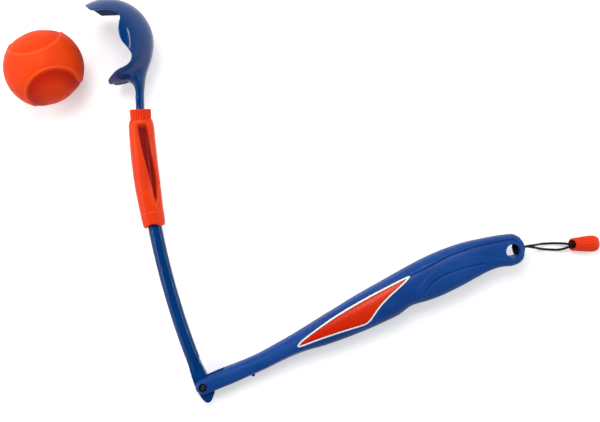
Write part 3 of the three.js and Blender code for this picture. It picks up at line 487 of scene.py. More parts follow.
def outline_distance(outline, x, y):
    """Distance to a closed outline, negative inside it."""
    shape = np.broadcast(x, y).shape
    nearest = np.full(shape, np.inf)
    inside = np.zeros(shape, bool)
    for (ax, ay), (bx, by) in zip(outline, np.roll(outline, -1, 0)):
        ex, ey = bx - ax, by - ay
        share = np.clip(((x - ax) * ex + (y - ay) * ey) / max(ex**2 + ey**2, TINY_SQUARE), 0, 1)
        nearest = np.minimum(nearest, (x - ax - share * ex) ** 2 + (y - ay - share * ey) ** 2)
        if ay != by:
            inside ^= ((ay > y) != (by > y)) & (x < ax + (y - ay) * ex / ey)
    return np.where(inside, -1, 1) * np.sqrt(nearest)


def ramp(value):
    """0 to 1 with level ends."""
    t = np.clip(value, 0, 1)
    return t * t * (3 - 2 * t)


def fade_in(value, span):
    """0 to 1 over a span, with level ends."""
    return ramp((value - span[0]) / (span[1] - span[0]))


# Fields: negative inside


def join(a, b, blend):
    """Union with a rounded inner corner."""
    h = np.clip((blend - np.abs(a - b)) / blend, 0, 1)
    return np.minimum(a, b) - h * h * blend / 4


def meet(a, b, blend):
    """What both hold, with a rounded edge."""
    return -join(-a, -b, blend)


def cut(a, b, blend):
    """The first without the second, with a rounded edge."""
    return meet(a, -b, blend)


def section(u, v, half_u, half_v, roundness):
    """Distance from a superellipse across two axes."""
    a = np.maximum(np.abs(u / half_u), LEAST_SHARE)
    b = np.maximum(np.abs(v / half_v), LEAST_SHARE)
    size = (a**roundness + b**roundness) ** (1 / roundness)
    slope = np.hypot((a / size) ** (roundness - 1) / half_u, (b / size) ** (roundness - 1) / half_v)
    return (size - 1) / slope


# Meshing: one point in each cell of a grid that the surface crosses, and a quad round each crossed edge

GRID_STEPS = np.eye(3, dtype=int)


def mesh_from_field(name, field, low, high, cell, place, marks=None):
    """Meshes a field's zero surface inside a box, with marks worked out on its own points."""
    low, high = np.array(low, float), np.array(high, float)
    values = sampled(field, low, high, cell)
    inside = values < 0
    crossed = crossed_cells(inside)
    cells = np.argwhere(crossed)
    number = np.full(crossed.shape, -1)
    number[crossed] = np.arange(len(cells))
    points, normals = onto_surface(field, low + cell * crossing_means(values, cells), cell)
    turn = np.array(place.to_3x3())
    moved = points @ turn.T + np.array(place.translation)
    made = mesh_object(name, moved, crossing_quads(inside, number).tolist(), normals @ turn.T)
    for mark, shade in (marks or {}).items():
        add_mark(made, mark, shade(*points.T))
    return made


def sampled(field, low, high, cell):
    """The field's values on a grid over a box."""
    counts = np.ceil((high - low) / cell).astype(int) + 1
    x, y, z = (low[k] + cell * np.arange(counts[k]) for k in range(3))
    return np.broadcast_to(field(x[:, None, None], y[None, :, None], z[None, None, :]), counts)


def crossed_cells(inside):
    """Marks the grid's cells that have some of their eight corners inside, but not all."""
    ends = (slice(0, -1), slice(1, None))
    held = sum(inside[i, j, k].astype(np.int8) for i in ends for j in ends for k in ends)
    return (held > 0) & (held < 8)


def crossing_means(values, cells):
    """The mean of the places where the surface crosses each cell's edges, in cells."""
    total = np.zeros((len(cells), 3))
    hits = np.zeros((len(cells), 1))
    for axis in range(3):
        one, two = GRID_STEPS[(axis + 1) % 3], GRID_STEPS[(axis + 2) % 3]
        for corner in (0 * one, one, two, one + two):
            start = cells + corner
            a = values[tuple(start.T)]
            b = values[tuple((start + GRID_STEPS[axis]).T)]
            crossed = (a < 0) != (b < 0)
            share = np.where(crossed, a / np.where(crossed, a - b, 1), 0)
            total += crossed[:, None] * (start + share[:, None] * GRID_STEPS[axis])
            hits += crossed[:, None]
    return total / hits


def crossing_quads(inside, number):
    """A quad round each crossed edge of the grid, given by its four cells' numbers."""
    quads = []
    for axis in range(3):
        one, two = GRID_STEPS[(axis + 1) % 3], GRID_STEPS[(axis + 2) % 3]
        near = inside[tuple(slice(0, -1) if k == axis else slice(None) for k in range(3))]
        far = inside[tuple(slice(1, None) if k == axis else slice(None) for k in range(3))]
        edges = np.argwhere(near != far)
        edges = edges[(edges >= one + two).all(1) & (edges < np.array(number.shape)).all(1)]
        ring = np.stack([number[tuple((edges - back).T)] for back in (one + two, two, 0 * one, one)], 1)
        outward = near[tuple(edges.T)]
        quads.append(np.where(outward[:, None], ring, ring[:, ::-1]))
    return np.concatenate(quads)


def onto_surface(field, points, cell):
    """The points moved onto the field's zero surface, and its own slopes there as normals."""
    for _ in range(PROJECT_TURNS):
        slope = slope_of(field, points)
        size = np.maximum((slope**2).sum(1), LEAST_SQUARED_SLOPE)
        shift = slope * (field(*points.T) / size)[:, None]
        reach = np.linalg.norm(shift, axis=1, keepdims=True)
        points = points - shift * np.minimum(1, cell / 2 / np.maximum(reach, TINY))
    normals = slope_of(field, points)
    return points, normals / np.linalg.norm(normals, axis=1, keepdims=True)


def slope_of(field, points):
    """How fast the field rises along each axis."""
    columns = []
    for axis in GRID_STEPS:
        columns.append(field(*(points + axis * PROBE).T) - field(*(points - axis * PROBE).T))
    return np.stack(columns, 1) / (2 * PROBE)


def add_mark(piece, name, values):
    """A value on each point, for the piece's material."""
    mark = piece.data.attributes.new(name, "FLOAT", "POINT")
    mark.data.foreach_set("value", np.asarray(values, np.float32))


def mesh_object(name, points, faces, normals=None):
    mesh = bpy.data.meshes.new(name)
    mesh.from_pydata(points.tolist(), [], faces)
    mesh.shade_smooth()
    if normals is not None:
        mesh.normals_split_custom_set_from_vertices(normals.tolist())
    mesh.update()
    made = bpy.data.objects.new(name, mesh)
    bpy.context.scene.collection.objects.link(made)
    return made


# The tables' smooth functions

handle_at = through(HANDLE_SHARES)
crease_at = through(CREASE_SHARES)
neck_at = through(NECK_SHARES)
sleeve_at = through(SLEEVE_SHARES)
scoop_at = through(SCOOP_SHARES)
toggle_at = through(TOGGLE_SHARES)


# Frames: the fold plane at the pivot, the handle's own turn in it, and the toggle as it lies

joints = {joint["name"]: joint for joint in frame["joints"]}
pivot = Vector(joints["arm_fold"]["pos_m"])
plane_normal = Vector(joints["arm_fold"]["axis"])
plane_tilt = Vector((0, 0, 1)).rotation_difference(plane_normal).to_matrix().to_4x4()
ARM_FRAME = Matrix.Translation(pivot) @ plane_tilt
HANDLE_FRAME = ARM_FRAME @ Matrix.Rotation(math.radians(HANDLE_TURN), 4, "Z")
TOGGLE_ROTATION = Euler((0, -math.radians(TOGGLE_TILT), math.radians(TOGGLE_TURN)), "XYZ").to_matrix()
TOGGLE_FRAME = Matrix.Translation((*TOGGLE_PLACE, 0)) @ TOGGLE_ROTATION.to_4x4()


def box_in(place, corners, margin):
    """The box in a frame of its own that holds two world corners, with a margin."""
    low, high = corners
    points = [Vector((x, y, z)) for x in (low.x, high.x) for y in (low.y, high.y) for z in (low.z, high.z)]
    inner = np.array([place.inverted() @ point for point in points])
    return inner.min(0) - margin, inner.max(0) + margin


# Arm


def arc_place(x, y):
    """Angle along the shaft's arc in degrees, and the offset towards its centre."""
    dx, dy = x - ARC_CENTRE[0], y - ARC_CENTRE[1]
    return np.degrees(np.arctan2(-dy, -dx)), ARC_RADIUS - np.hypot(dx, dy)


def shaft_half_width(degrees):
    share = ramp((degrees - SHAFT_END) / (SHAFT_START * SHAFT_TAPER_SHARE - SHAFT_END))
    return (SHAFT_NECK_WIDTH + (SHAFT_HINGE_WIDTH - SHAFT_NECK_WIDTH) * share) / 2


def shaft_field(x, y, z):
    """The bent shaft, with its facets cut along the front and the back."""
    degrees, offset = arc_place(x, y)
    half = shaft_half_width(degrees)
    body = section(offset, z, half, SHAFT_THICKNESS / 2, SHAFT_ROUNDNESS)
    for side, start, degrees_down in SHAFT_FACETS:
        lean = math.radians(degrees_down)
        out = side * offset - start * half
        facet = (np.abs(z) - SHAFT_THICKNESS / 2) * math.cos(lean) + out * math.sin(lean)
        body = meet(body, facet, FACET_EDGE)
    ends = np.maximum(SHAFT_END - degrees, degrees - SHAFT_START) * ARC_DEGREE
    return np.maximum(body, ends)


def neck_field(x, y, z):
    share = (y - CUP_CENTRE[1] + NECK_FOOT_DROP) / NECK_LENGTH
    left, right, depth, roundness = neck_at(np.clip(share, 0, 1))
    middle = CUP_CENTRE[0] + (left + right) / 2 * NECK_WIDTH
    half = (right - left) / 2 * NECK_WIDTH
    body = section(x - middle, z, half, depth * SHAFT_THICKNESS, roundness)
    return np.maximum(body, np.maximum(-share, share - 1) * NECK_LENGTH)


def cup_mouth():
    """The open side of the cup, from its edge out past everything on that side."""
    far = [(-MOUTH_FAR, MOUTH_FAR), (-MOUTH_FAR, -MOUTH_FAR)]
    edge = rounded_outline(MOUTH_SHARES, closed=False)
    return np.concatenate([edge, far]) * CUP_OUTER


def cup_field(x, y, z, mouth, slot):
    """The cup with its neck, less the ball's room and its way in, the mouth and the prongs' slot."""
    across, up = x - CUP_CENTRE[0], y - CUP_CENTRE[1]
    ball = np.sqrt(across**2 + up**2 + z**2)
    shell = ball - CUP_OUTER
    turn = math.radians(BALL_BEARING)
    reach = across * math.cos(turn) + up * math.sin(turn)
    way_in = np.sqrt(np.maximum(ball**2 - reach**2, 0))
    hollow = np.where(reach > 0, way_in, ball) - CUP_INNER
    shell = cut(shell, outline_distance(mouth, across, up), CUP_EDGE)
    under = np.maximum(outline_distance(slot, across, z), up + CUP_OUTER / 2)
    shell = cut(shell, under, CUP_EDGE)
    whole = join(shell, neck_field(x, y, z), NECK_BLEND)
    return cut(whole, hollow, CUP_EDGE)


def hinge_field(x, y, z):
    """The shaft's foot, its shoulders and the tongue with its heel."""
    far = ARC_RADIUS
    notch = np.array([
        (-SHOULDER_OFFSET, SHOULDER_HEIGHT), (far, SHOULDER_HEIGHT), (far, -far),
        (-far, -far), (-far, FLANK_END), (-SHOULDER_OFFSET, FLANK_END),
    ])
    foot = cut(shaft_field(x, y, z), outline_distance(notch, x, y), MOULD_EDGE)
    tongue = rounded_outline(np.array(TONGUE_SHARES) * HEEL_LENGTH)
    plate = meet(outline_distance(tongue, x, y), np.abs(z) - TONGUE_THICKNESS / 2, MOULD_EDGE)
    whole = join(foot, plate, MOULD_EDGE)
    return cut(whole, np.hypot(x, y) - BARREL_RADIUS - FIT_GAP, MOULD_EDGE)


def arm_piece():
    mouth = cup_mouth()
    half = np.array(PRONG_SHARES)
    slot = np.concatenate([half, half[::-1] * (1, -1)]) * CUP_OUTER

    # Both fields are the plain shaft where they meet
    def field(x, y, z):
        upper = join(cup_field(x, y, z, mouth, slot), shaft_field(x, y, z), MOULD_EDGE)
        return np.where(y > CUP_CENTRE[1] - 2 * CUP_OUTER, upper, hinge_field(x, y, z))

    margin = 2 * CELL
    low = (CUP_CENTRE[0] - CUP_OUTER - margin, -HEEL_LENGTH - margin, -CUP_OUTER - margin)
    high = (2 * HEEL_LENGTH, CUP_CENTRE[1] + CUP_OUTER + margin, CUP_OUTER + margin)
    return mesh_from_field("moulded_arm", field, low, high, CELL, ARM_FRAME)


# Handle


def handle_section(x, y, z, offset=0.0):
    """The handle's plain skin, or one that lies an offset outside it."""
    share = np.clip(x / HANDLE_LENGTH, 0, 1)
    spine, palm, side, roundness = handle_at(share)
    half = (spine - palm) / 2 * GRIP_DEPTH
    across = y - (spine + palm) / 2 * GRIP_DEPTH
    across = np.hypot(across, np.minimum(x, 0))
    body = section(across, z, half, side * BELLY_THICKNESS / 2, roundness)

    # The neck's palm side leans in from the parting line
    draft = math.radians(FLANK_DRAFT)
    start, full, last, end = FLANK_FADE
    off = 1 - fade_in(x, (start, full)) * fade_in(x, (end, last))
    flank = (palm * GRIP_DEPTH - y) * math.cos(draft) + np.abs(z) * math.sin(draft)
    body = meet(body, flank - off * FLANK_FADE_DROP, MOULD_EDGE)
    return meet(body, x - HANDLE_LENGTH, MOULD_EDGE) - offset


def face_outline(table):
    """A table's closed outline on the handle's face."""
    return rounded_outline(table) * (HANDLE_LENGTH, GRIP_DEPTH)


def face_line(table, width):
    """A thin closed outline that follows a table's line on the handle's face."""
    places = np.linspace(table[0][0], table[-1][0], GROOVE_STEPS)
    rise = through(table)(places)[0]
    line = np.stack([places * HANDLE_LENGTH, rise * GRIP_DEPTH], 1)
    return np.concatenate([line - (0, width), line[::-1] + (0, width)])


def side_relief(x, y, recess, groove):
    """How far the sides lie under the handle's plain skin."""
    share = np.clip(x / HANDLE_LENGTH, 0, 1)
    crease = crease_at(share)[0] * GRIP_DEPTH
    palm = handle_at(share)[1] * GRIP_DEPTH
    below = ramp((crease - y) / CREASE_WIDTH) * ramp((y - palm) / (crease - palm + CREASE_WIDTH))
    depth = CREASE_DROP * below * fade_in(x, CREASE_FADE)
    hollow = ramp(-outline_distance(recess, x, y) / RECESS_EDGE)
    depth = depth + RECESS_DEPTH * fade_in(x, RECESS_FADE) * hollow
    beside = np.clip(1 - (outline_distance(groove, x, y) / (GROOVE_WIDTH / 2)) ** 2, 0, 1)
    apart = np.hypot(x - THUMB_PLACE[0], y - THUMB_PLACE[1]) / THUMB_RADIUS
    return depth + GROOVE_DEPTH * beside**GROOVE_ROUNDNESS - THUMB_SWELL * np.exp(-(apart**2))


def cut_fork(whole, x, y, z):
    """The fork's slot, the pivot's bore and a counterbore in each cheek."""
    slot = np.maximum(np.abs(z) - SLOT_WIDTH / 2, x - SLOT_DEPTH)
    whole = cut(whole, slot, MOULD_EDGE)
    radius = np.hypot(x, y)
    whole = cut(whole, radius - BARREL_RADIUS - FIT_GAP, FIT_GAP)
    bottom = FORK_THICKNESS / 2 - COUNTERBORE_DEPTH
    return cut(whole, np.maximum(radius - COUNTERBORE_RADIUS, bottom - np.abs(z)), MOULD_EDGE)


def cut_hanging_end(whole, x, y, z):
    """The hanging hole, and the cord's bore from it out through the end."""
    out_x, out_y = x - HANDLE_LENGTH + HANG_INSET, y - HANG_ACROSS
    whole = cut(whole, np.hypot(out_x, out_y) - HANG_RADIUS, 2 * MOULD_EDGE)
    turn = math.radians(CORD_BORE_TURN)
    along = out_x * math.cos(turn) + out_y * math.sin(turn)
    aside = np.hypot(out_y * math.cos(turn) - out_x * math.sin(turn), z)
    return cut(whole, np.maximum(aside - CORD_BORE_RADIUS, -along), MOULD_EDGE)


def handle_pieces():
    """The handle's front and back halves, split at the parting line."""
    recess = face_outline(RECESS_OUTLINE)
    groove = face_line(GROOVE_SHARES, FIT_GAP / 2)
    badge = face_outline(BADGE_OUTLINE)

    def body(x, y, z):
        whole = handle_section(x, y, z) + side_relief(x, y, recess, groove)
        nub = np.sqrt((x - NUB_PLACE[0]) ** 2 + (y - NUB_PLACE[1]) ** 2 + z**2) - NUB_RADIUS
        whole = join(whole, nub, MOULD_EDGE)
        return cut_hanging_end(cut_fork(whole, x, y, z), x, y, z)

    def badge_seat(x, y, z):
        inside = outline_distance(badge, x, y) - FIT_GAP
        return np.maximum(np.maximum(inside, -handle_section(x, y, z, -BADGE_DEPTH - FIT_GAP)), -z)

    def front(x, y, z):
        half = meet(body(x, y, z), PARTING_GAP / 2 - z, PARTING_EDGE)
        return cut(half, badge_seat(x, y, z), FIT_GAP)

    def back(x, y, z):
        return meet(body(x, y, z), PARTING_GAP / 2 + z, PARTING_EDGE)

    # The counterbore's well mark lays painted shade on its walls
    def counterbore(x, y, z):
        return ramp((COUNTERBORE_RADIUS - np.hypot(x, y)) / MOULD_EDGE + 1)

    # The palm stays within a third of the grip's depth from the pivot's line
    margin = 2 * CELL
    low = (-FORK_RADIUS - margin, -GRIP_DEPTH / 3 - margin)
    high = (HANDLE_LENGTH + margin, GRIP_DEPTH)
    deep = BELLY_THICKNESS / 2 + margin
    made = []
    for name, field, bottom, top in (
        ("moulded_handle_front", front, -margin, deep),
        ("moulded_handle_back", back, -deep, margin),
    ):
        corners = (*low, bottom), (*high, top)
        made.append(mesh_from_field(name, field, *corners, CELL, HANDLE_FRAME, {"well": counterbore}))
    return made


def badge_pieces():
    """The badge's border, which stands a little over the skin, and the field inside it."""
    badge = face_outline(BADGE_OUTLINE)

    def plate(side, stand, x, y, z):
        filled = meet(side, handle_section(x, y, z, stand), MOULD_EDGE)
        return np.maximum(np.maximum(filled, -handle_section(x, y, z, -BADGE_DEPTH)), -z)

    def border(x, y, z):
        inside = outline_distance(badge, x, y)
        return plate(np.maximum(inside, -inside - BADGE_BORDER), BADGE_STAND, x, y, z)

    def panel(x, y, z):
        return plate(outline_distance(badge, x, y) + BADGE_BORDER + FIT_GAP, 0, x, y, z)

    # All of the badge lies higher than a sixth of the belly's thickness
    margin = 2 * FINE_CELL
    low = (*(badge.min(0) - margin), BELLY_THICKNESS / 6)
    high = (*(badge.max(0) + margin), BELLY_THICKNESS / 2 + BADGE_STAND + margin)
    made = []
    for name, field in (("badge_rim", border), ("badge_field", panel)):
        made.append(mesh_from_field(name, field, low, high, BADGE_CELL, HANDLE_FRAME))
    return made


# Screw and barrel nut, on the pivot's own axis


def hex_distance(x, y):
    """Distance to a hexagon's flats, negative inside."""
    flats = [x * math.cos(turn) + y * math.sin(turn) for turn in np.radians([0, 60, 120])]
    return np.maximum.reduce([np.abs(flat) for flat in flats]) - HEX_RADIUS


def headed_pin(name, head_radius, head_thickness, shank_radius, bore_radius, side):
    """A socket head on a round shank, from the front (1) or the back (-1) cheek inwards."""
    top = FORK_THICKNESS / 2 - HEAD_RECESS
    reach = top - head_thickness - FIT_GAP

    def field(x, y, z):
        out = side * z
        radius = np.hypot(x, y)
        head = meet(radius - head_radius, np.maximum(out - top, top - head_thickness - out), HEAD_EDGE)
        shank = np.maximum(radius - shank_radius, np.maximum(out - top, -out - reach))
        socket = np.maximum(hex_distance(x, y), top - HEX_DEPTH - out)
        whole = cut(join(head, shank, HEAD_EDGE), socket, HEAD_EDGE / 2)
        if bore_radius:
            hollow = np.maximum(radius - bore_radius, out - top + head_thickness)
            whole = cut(whole, hollow, HEAD_EDGE)
        return whole

    corner = np.array([head_radius, head_radius, top]) + 2 * HARDWARE_CELL
    return mesh_from_field(name, field, -corner, corner, HARDWARE_CELL, HANDLE_FRAME)


def screw_piece():
    return headed_pin("socket_screw", SCREW_HEAD_RADIUS, SCREW_HEAD_THICKNESS, SCREW_SHANK_RADIUS, 0, 1)


def nut_piece():
    bore = SCREW_SHANK_RADIUS + FIT_GAP
    return headed_pin("barrel_nut", BARREL_HEAD_RADIUS, BARREL_HEAD_THICKNESS, BARREL_RADIUS, bore, -1)


# Sleeve and ring


def sleeve_place(x, y):
    """Length up the shaft from the sleeve's lower mouth, and the offset towards the arc's centre."""
    degrees, offset = arc_place(x, y)
    return (SLEEVE_START - degrees) * ARC_DEGREE, offset


def shaft_bore(offset, z):
    return section(offset, z, BORE_HALF_WIDTH, BORE_HALF_THICKNESS, SHAFT_ROUNDNESS)


def scoop_shape(x, y, z):
    """The scoop's depth under the sleeve's skin, and how much of it is its well, where shade is painted."""
    along, offset = sleeve_place(x, y)
    share = np.clip(along / SLEEVE_LENGTH, 0, 1)
    ridge, deep, wall = scoop_at(np.maximum(share, SCOOP_SHARES[0][0]))
    turn = np.degrees(np.arctan2(offset, z))
    inside = ramp((wall - turn) / SCOOP_WALL_EDGE + 1 / 2) * (1 - fade_in(share, SCOOP_TOP))
    inside = inside * fade_in(share, SCOOP_FOOT)
    slope = ramp((turn - ridge) / np.maximum(deep - ridge, SCOOP_WELL_EDGE))
    well = ramp((turn - deep) / SCOOP_WELL_EDGE + 1 / 2)
    return (SCOOP_SLOPE_DROP * slope + SCOOP_WELL_DROP * well) * inside, well * inside


def sleeve_piece():
    def field(x, y, z):
        along, offset = sleeve_place(x, y)
        half = sleeve_at(np.clip(along / SLEEVE_LENGTH, 0, 1))[0] * SLEEVE_WIDTH / 2
        body = section(offset, z, half, half, SLEEVE_ROUNDNESS)
        seam = SEAM_DEPTH * np.exp(-(((along - SEAM_PLACE) / SEAM_WIDTH) ** 2))
        body = body + scoop_shape(x, y, z)[0] + seam
        body = meet(body, np.maximum(-along, along - SLEEVE_LENGTH), SLEEVE_EDGE)
        mouth = np.hypot(offset, along + MOUTH_SCOOP_RADIUS - MOUTH_SCOOP) - MOUTH_SCOOP_RADIUS
        body = cut(body, mouth, 2 * SLEEVE_EDGE)
        return cut(body, shaft_bore(offset, z), SLEEVE_EDGE)

    # Painted shade, a dark red, laid in the scoop's well by this mark
    def well(x, y, z):
        return scoop_shape(x, y, z)[1]

    low, high = box_in(ARM_FRAME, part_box("lock_sleeve"), 2 * CELL)
    return mesh_from_field("moulded_sleeve", field, low, high, SLEEVE_CELL, ARM_FRAME, {"well": well})


def ring_piece():
    ring_middle = SLEEVE_LENGTH + RING_LENGTH / 2

    def field(x, y, z):
        along, offset = sleeve_place(x, y)
        flute = ((1 - np.cos(RING_FLUTES * np.arctan2(z, offset))) / 2) ** RING_FLUTE_SHARPNESS
        body = np.hypot(offset, z) - RING_RADIUS + FLUTE_DEPTH * flute
        body = meet(body, np.abs(along - ring_middle) - RING_LENGTH / 2, SLEEVE_EDGE)
        return cut(body, shaft_bore(offset, z), SLEEVE_EDGE)

    low, high = box_in(ARM_FRAME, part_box("sleeve_ring"), 2 * CELL)
    return mesh_from_field("fluted_ring", field, low, high, FINE_CELL, ARM_FRAME)


# Ball


def ball_piece():
    """The ball as a fine sphere whose points sink into its dishes."""
    low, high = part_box("ball")
    centre = (low + high) / 2
    bpy.ops.mesh.primitive_ico_sphere_add(subdivisions=BALL_DETAIL, radius=1)
    made = bpy.context.object
    made.name = "seamed_ball"
    unit = np.array([v.co for v in made.data.vertices])
    depth = np.full(len(unit), BALL_BEAD)
    rim = np.zeros(len(unit))
    shade = np.zeros(len(unit))
    for dish in BALL_DISHES:
        inside = dish_depth(unit, dish) * BALL_RADIUS
        bead = np.exp(-(((inside + BALL_STEP_WIDTH) / BALL_BEAD_WIDTH) ** 2))
        depth += BALL_STEP * ramp(inside / BALL_STEP_WIDTH + 1 / 2)
        depth += BALL_BOWL * ramp(inside / BALL_BOWL_WALL) - BALL_BEAD * bead
        # The bead's rim mark carries a painted highlight along each dish's rim
        rim += bead
        # Painted shade just inside each dish's edge, fading further in
        shade += dish["shade"] * ramp(inside / BALL_SHADE_RISE) * np.exp(-((inside / BALL_SHADE_FADE) ** 2))
    reach = np.minimum(BALL_RADIUS - depth, BALL_RADIUS)
    add_mark(made, "band", 1 - np.clip((depth - BALL_BEAD) / BALL_STEP, 0, 1))
    add_mark(made, "rim", rim)
    add_mark(made, "shade", shade)
    points = unit * reach[:, None] + np.array(centre)
    made.data.vertices.foreach_set("co", points.astype(np.float32).ravel())
    made.data.shade_smooth()
    made.data.update()
    return made


def dish_depth(unit, dish):
    """How far, in radians, each point lies inside a long dish that runs from its centre to the back."""
    start = Vector(dish["centre"]).normalized()
    back = Vector((0, 0, -1))
    side = (back - start * back.dot(start)).normalized()
    along = np.arctan2(unit @ np.array(side), unit @ np.array(start))
    along = np.clip(along, 0, math.radians(dish["reach"]))
    spine = np.cos(along)[:, None] * np.array(start) + np.sin(along)[:, None] * np.array(side)
    apart = np.arccos(np.clip((unit * spine).sum(1), -1, 1))
    return math.radians(dish["radius"]) - apart


# Lanyard


def smooth_route(route):
    """Even points along a smooth curve through a route, and the curve's length."""
    route = np.array(route)
    ends = np.concatenate([[2 * route[0] - route[1]], route, [2 * route[-1] - route[-2]]])
    fine = []
    for a, b, c, d in zip(ends, ends[1:], ends[2:], ends[3:]):
        for t in np.linspace(0, 1, ROUTE_STEPS, endpoint=False):
            fine.append(between(a, b, c, d, t))
    fine = np.array([*fine, route[-1]])
    run = np.concatenate([[0], np.cumsum(np.linalg.norm(np.diff(fine, axis=0), axis=1))])
    places = np.linspace(0, run[-1], int(run[-1] / CORD_STEP))
    return np.stack([np.interp(places, run, fine[:, k]) for k in range(3)], 1), run[-1]


def braided_cord(name, route):
    """A cord with its braid in relief, and the braid's phase kept for its material."""
    path, length = smooth_route(route)
    tangent = np.gradient(path, axis=0)
    tangent /= np.linalg.norm(tangent, axis=1, keepdims=True)
    across = np.cross([0, 0, 1], tangent)
    across /= np.linalg.norm(across, axis=1, keepdims=True)
    rise = np.cross(tangent, across)
    turn = np.linspace(0, 2 * np.pi, CORD_SIDES, endpoint=False)
    along = (np.arange(len(path)) * CORD_STEP)[:, None]
    phase = 2 * np.pi * along / BRAID_PITCH
    raised = np.maximum(np.cos(BRAID_THREADS * turn + phase), np.cos(BRAID_THREADS * turn - phase))
    radius = CORD_DIAMETER / 2 - CORD_RELIEF * (1 - raised) / 2
    radius[[0, -1]] *= CORD_END_SHARE
    points = path[:, None] + radius[:, :, None] * (
        np.cos(turn)[None, :, None] * across[:, None] + np.sin(turn)[None, :, None] * rise[:, None]
    )
    made = mesh_object(name, points.reshape(-1, 3), tube_faces(len(path), CORD_SIDES))
    add_mark(made, "braid", raised.ravel())
    return made, path, length


def tube_faces(rings, sides):
    """Quads between each ring of points and the next, and a face over each end."""
    start = np.arange(rings - 1)[:, None] * sides
    side = np.arange(sides)[None, :]
    beside = (side + 1) % sides
    corners = [start + side, start + beside, start + sides + beside, start + sides + side]
    faces = np.stack(corners, -1).reshape(-1, 4).tolist()
    first, last = list(range(sides)), list(range((rings - 1) * sides, rings * sides))
    return [*faces, first[::-1], last]


def knot_piece(name, node, axis, length, radius, turns):
    """A tight knot: a bead with the cord's turns wound round its axis."""
    low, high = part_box(node)
    place = Matrix.Translation((low + high) / 2)
    place = place @ Vector((1, 0, 0)).rotation_difference(axis).to_matrix().to_4x4()

    def field(x, y, z):
        share = np.clip(np.abs(x) / (length / 2), 0, 1)
        swell = np.sqrt(1 - share**KNOT_ROUNDNESS + KNOT_END)
        wound = np.arctan2(z, y) + 2 * np.pi * turns * x / length
        relief = KNOT_RELIEF * (1 - np.abs(np.cos(wound / 2))) * swell
        return meet(np.hypot(y, z) - radius * swell + relief, np.abs(x) - length / 2, MOULD_EDGE)

    reach = np.array([length / 2, radius, radius]) + 2 * FINE_CELL
    return mesh_from_field(name, field, -reach, reach, FINE_CELL, place)


def stopper_piece():
    """The knot across the hanging hole, square to the cord's bore."""
    turn = math.radians(CORD_BORE_TURN)
    across = HANDLE_FRAME.to_3x3() @ Vector((-math.sin(turn), math.cos(turn), 0))
    return knot_piece("stopper_knot", "lanyard_knot", across, STOPPER_LENGTH, STOPPER_RADIUS, STOPPER_TURNS)


def inner_knot_piece():
    """The knot that lies along the toggle's bore."""
    axis = TOGGLE_ROTATION @ Vector((1, 0, 0))
    return knot_piece("toggle_inner_knot", "toggle_knot", axis, KNOT_LENGTH, KNOT_RADIUS, KNOT_TURNS)


def toggle_piece():
    """The fluted toggle, with its bore open at the slanted mouth."""
    lean = math.radians(TOGGLE_MOUTH_LEAN)

    def field(x, y, z):
        share = np.clip(x / TOGGLE_LENGTH, 0, 1)
        flute = ((1 + np.cos(TOGGLE_FLUTES * np.arctan2(z, y))) / 2) ** TOGGLE_FLUTE_SHARPNESS
        depth = TOGGLE_FLUTE_DEPTH * flute * np.sqrt(np.maximum(np.sin(np.pi * share), 0))
        radius = np.hypot(y, z)
        body = radius - toggle_at(share)[0] * TOGGLE_RADIUS + depth
        body = meet(body, np.maximum(-x, x - TOGGLE_LENGTH), 3 * MOULD_EDGE)
        mouth = (z + TOGGLE_BORE) * math.sin(lean) - x * math.cos(lean)
        body = meet(body, mouth, 2 * MOULD_EDGE)
        bore = np.maximum(radius - TOGGLE_BORE, x - TOGGLE_BORE_DEPTH)
        return cut(body, bore, MOULD_EDGE)

    # Painted shade inside the toggle's bore, by this well mark
    def bore_mark(x, y, z):
        return ramp((TOGGLE_BORE - np.hypot(y, z)) / MOULD_EDGE + 1)

    reach = TOGGLE_RADIUS + FIT_GAP
    low = (-2 * FIT_GAP, -reach, -reach)
    high = (TOGGLE_LENGTH + 2 * FINE_CELL, reach, reach)
    made = mesh_from_field("fluted_toggle", field, low, high, FINE_CELL, TOGGLE_FRAME, {"well": bore_mark})
    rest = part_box("lanyard_toggle")[0].z - min(v.co.z for v in made.data.vertices)
    made.data.transform(Matrix.Translation((0, 0, rest)))
    return made


# Materials


def new_material(name):
    made = bpy.data.materials.new(name)
    made.use_nodes = True
    return made, made.node_tree, made.node_tree.nodes["Principled BSDF"]


def own_place(tree):
    """A point's place on its own piece."""
    return tree.nodes.new("ShaderNodeTexCoord").outputs["Object"]


def noise(tree, scale, detail=NOISE_DETAIL):
    made = tree.nodes.new("ShaderNodeTexNoise")
    made.inputs["Scale"].default_value = scale
    made.inputs["Detail"].default_value = detail
    tree.links.new(own_place(tree), made.inputs["Vector"])
    return made.outputs["Fac"]


def spread(tree, value, low, high, span=NOISE_SPAN):
    """A value moved from one span to another."""
    made = tree.nodes.new("ShaderNodeMapRange")
    made.inputs["From Min"].default_value = span[0]
    made.inputs["From Max"].default_value = span[1]
    made.inputs["To Min"].default_value = low
    made.inputs["To Max"].default_value = high
    tree.links.new(value, made.inputs["Value"])
    return made.outputs["Result"]


def maths(tree, operation, first, second):
    made = tree.nodes.new("ShaderNodeMath")
    made.operation = operation
    tree.links.new(first, made.inputs[0])
    tree.links.new(second, made.inputs[1])
    return made.outputs["Value"]


def mark_value(tree, name):
    """What add_mark has put on the piece's points."""
    made = tree.nodes.new("ShaderNodeAttribute")
    made.attribute_name = name
    return made.outputs["Fac"]


def blend_colours(tree, factor, first, second):
    made = tree.nodes.new("ShaderNodeMix")
    made.data_type = "RGBA"
    tree.links.new(factor, made.inputs["Factor"])
    for socket, colour in (("A", first), ("B", second)):
        if isinstance(colour, bpy.types.NodeSocket):
            tree.links.new(colour, made.inputs[socket])
        else:
            made.inputs[socket].default_value = (*colour, 1)
    return made.outputs["Result"]


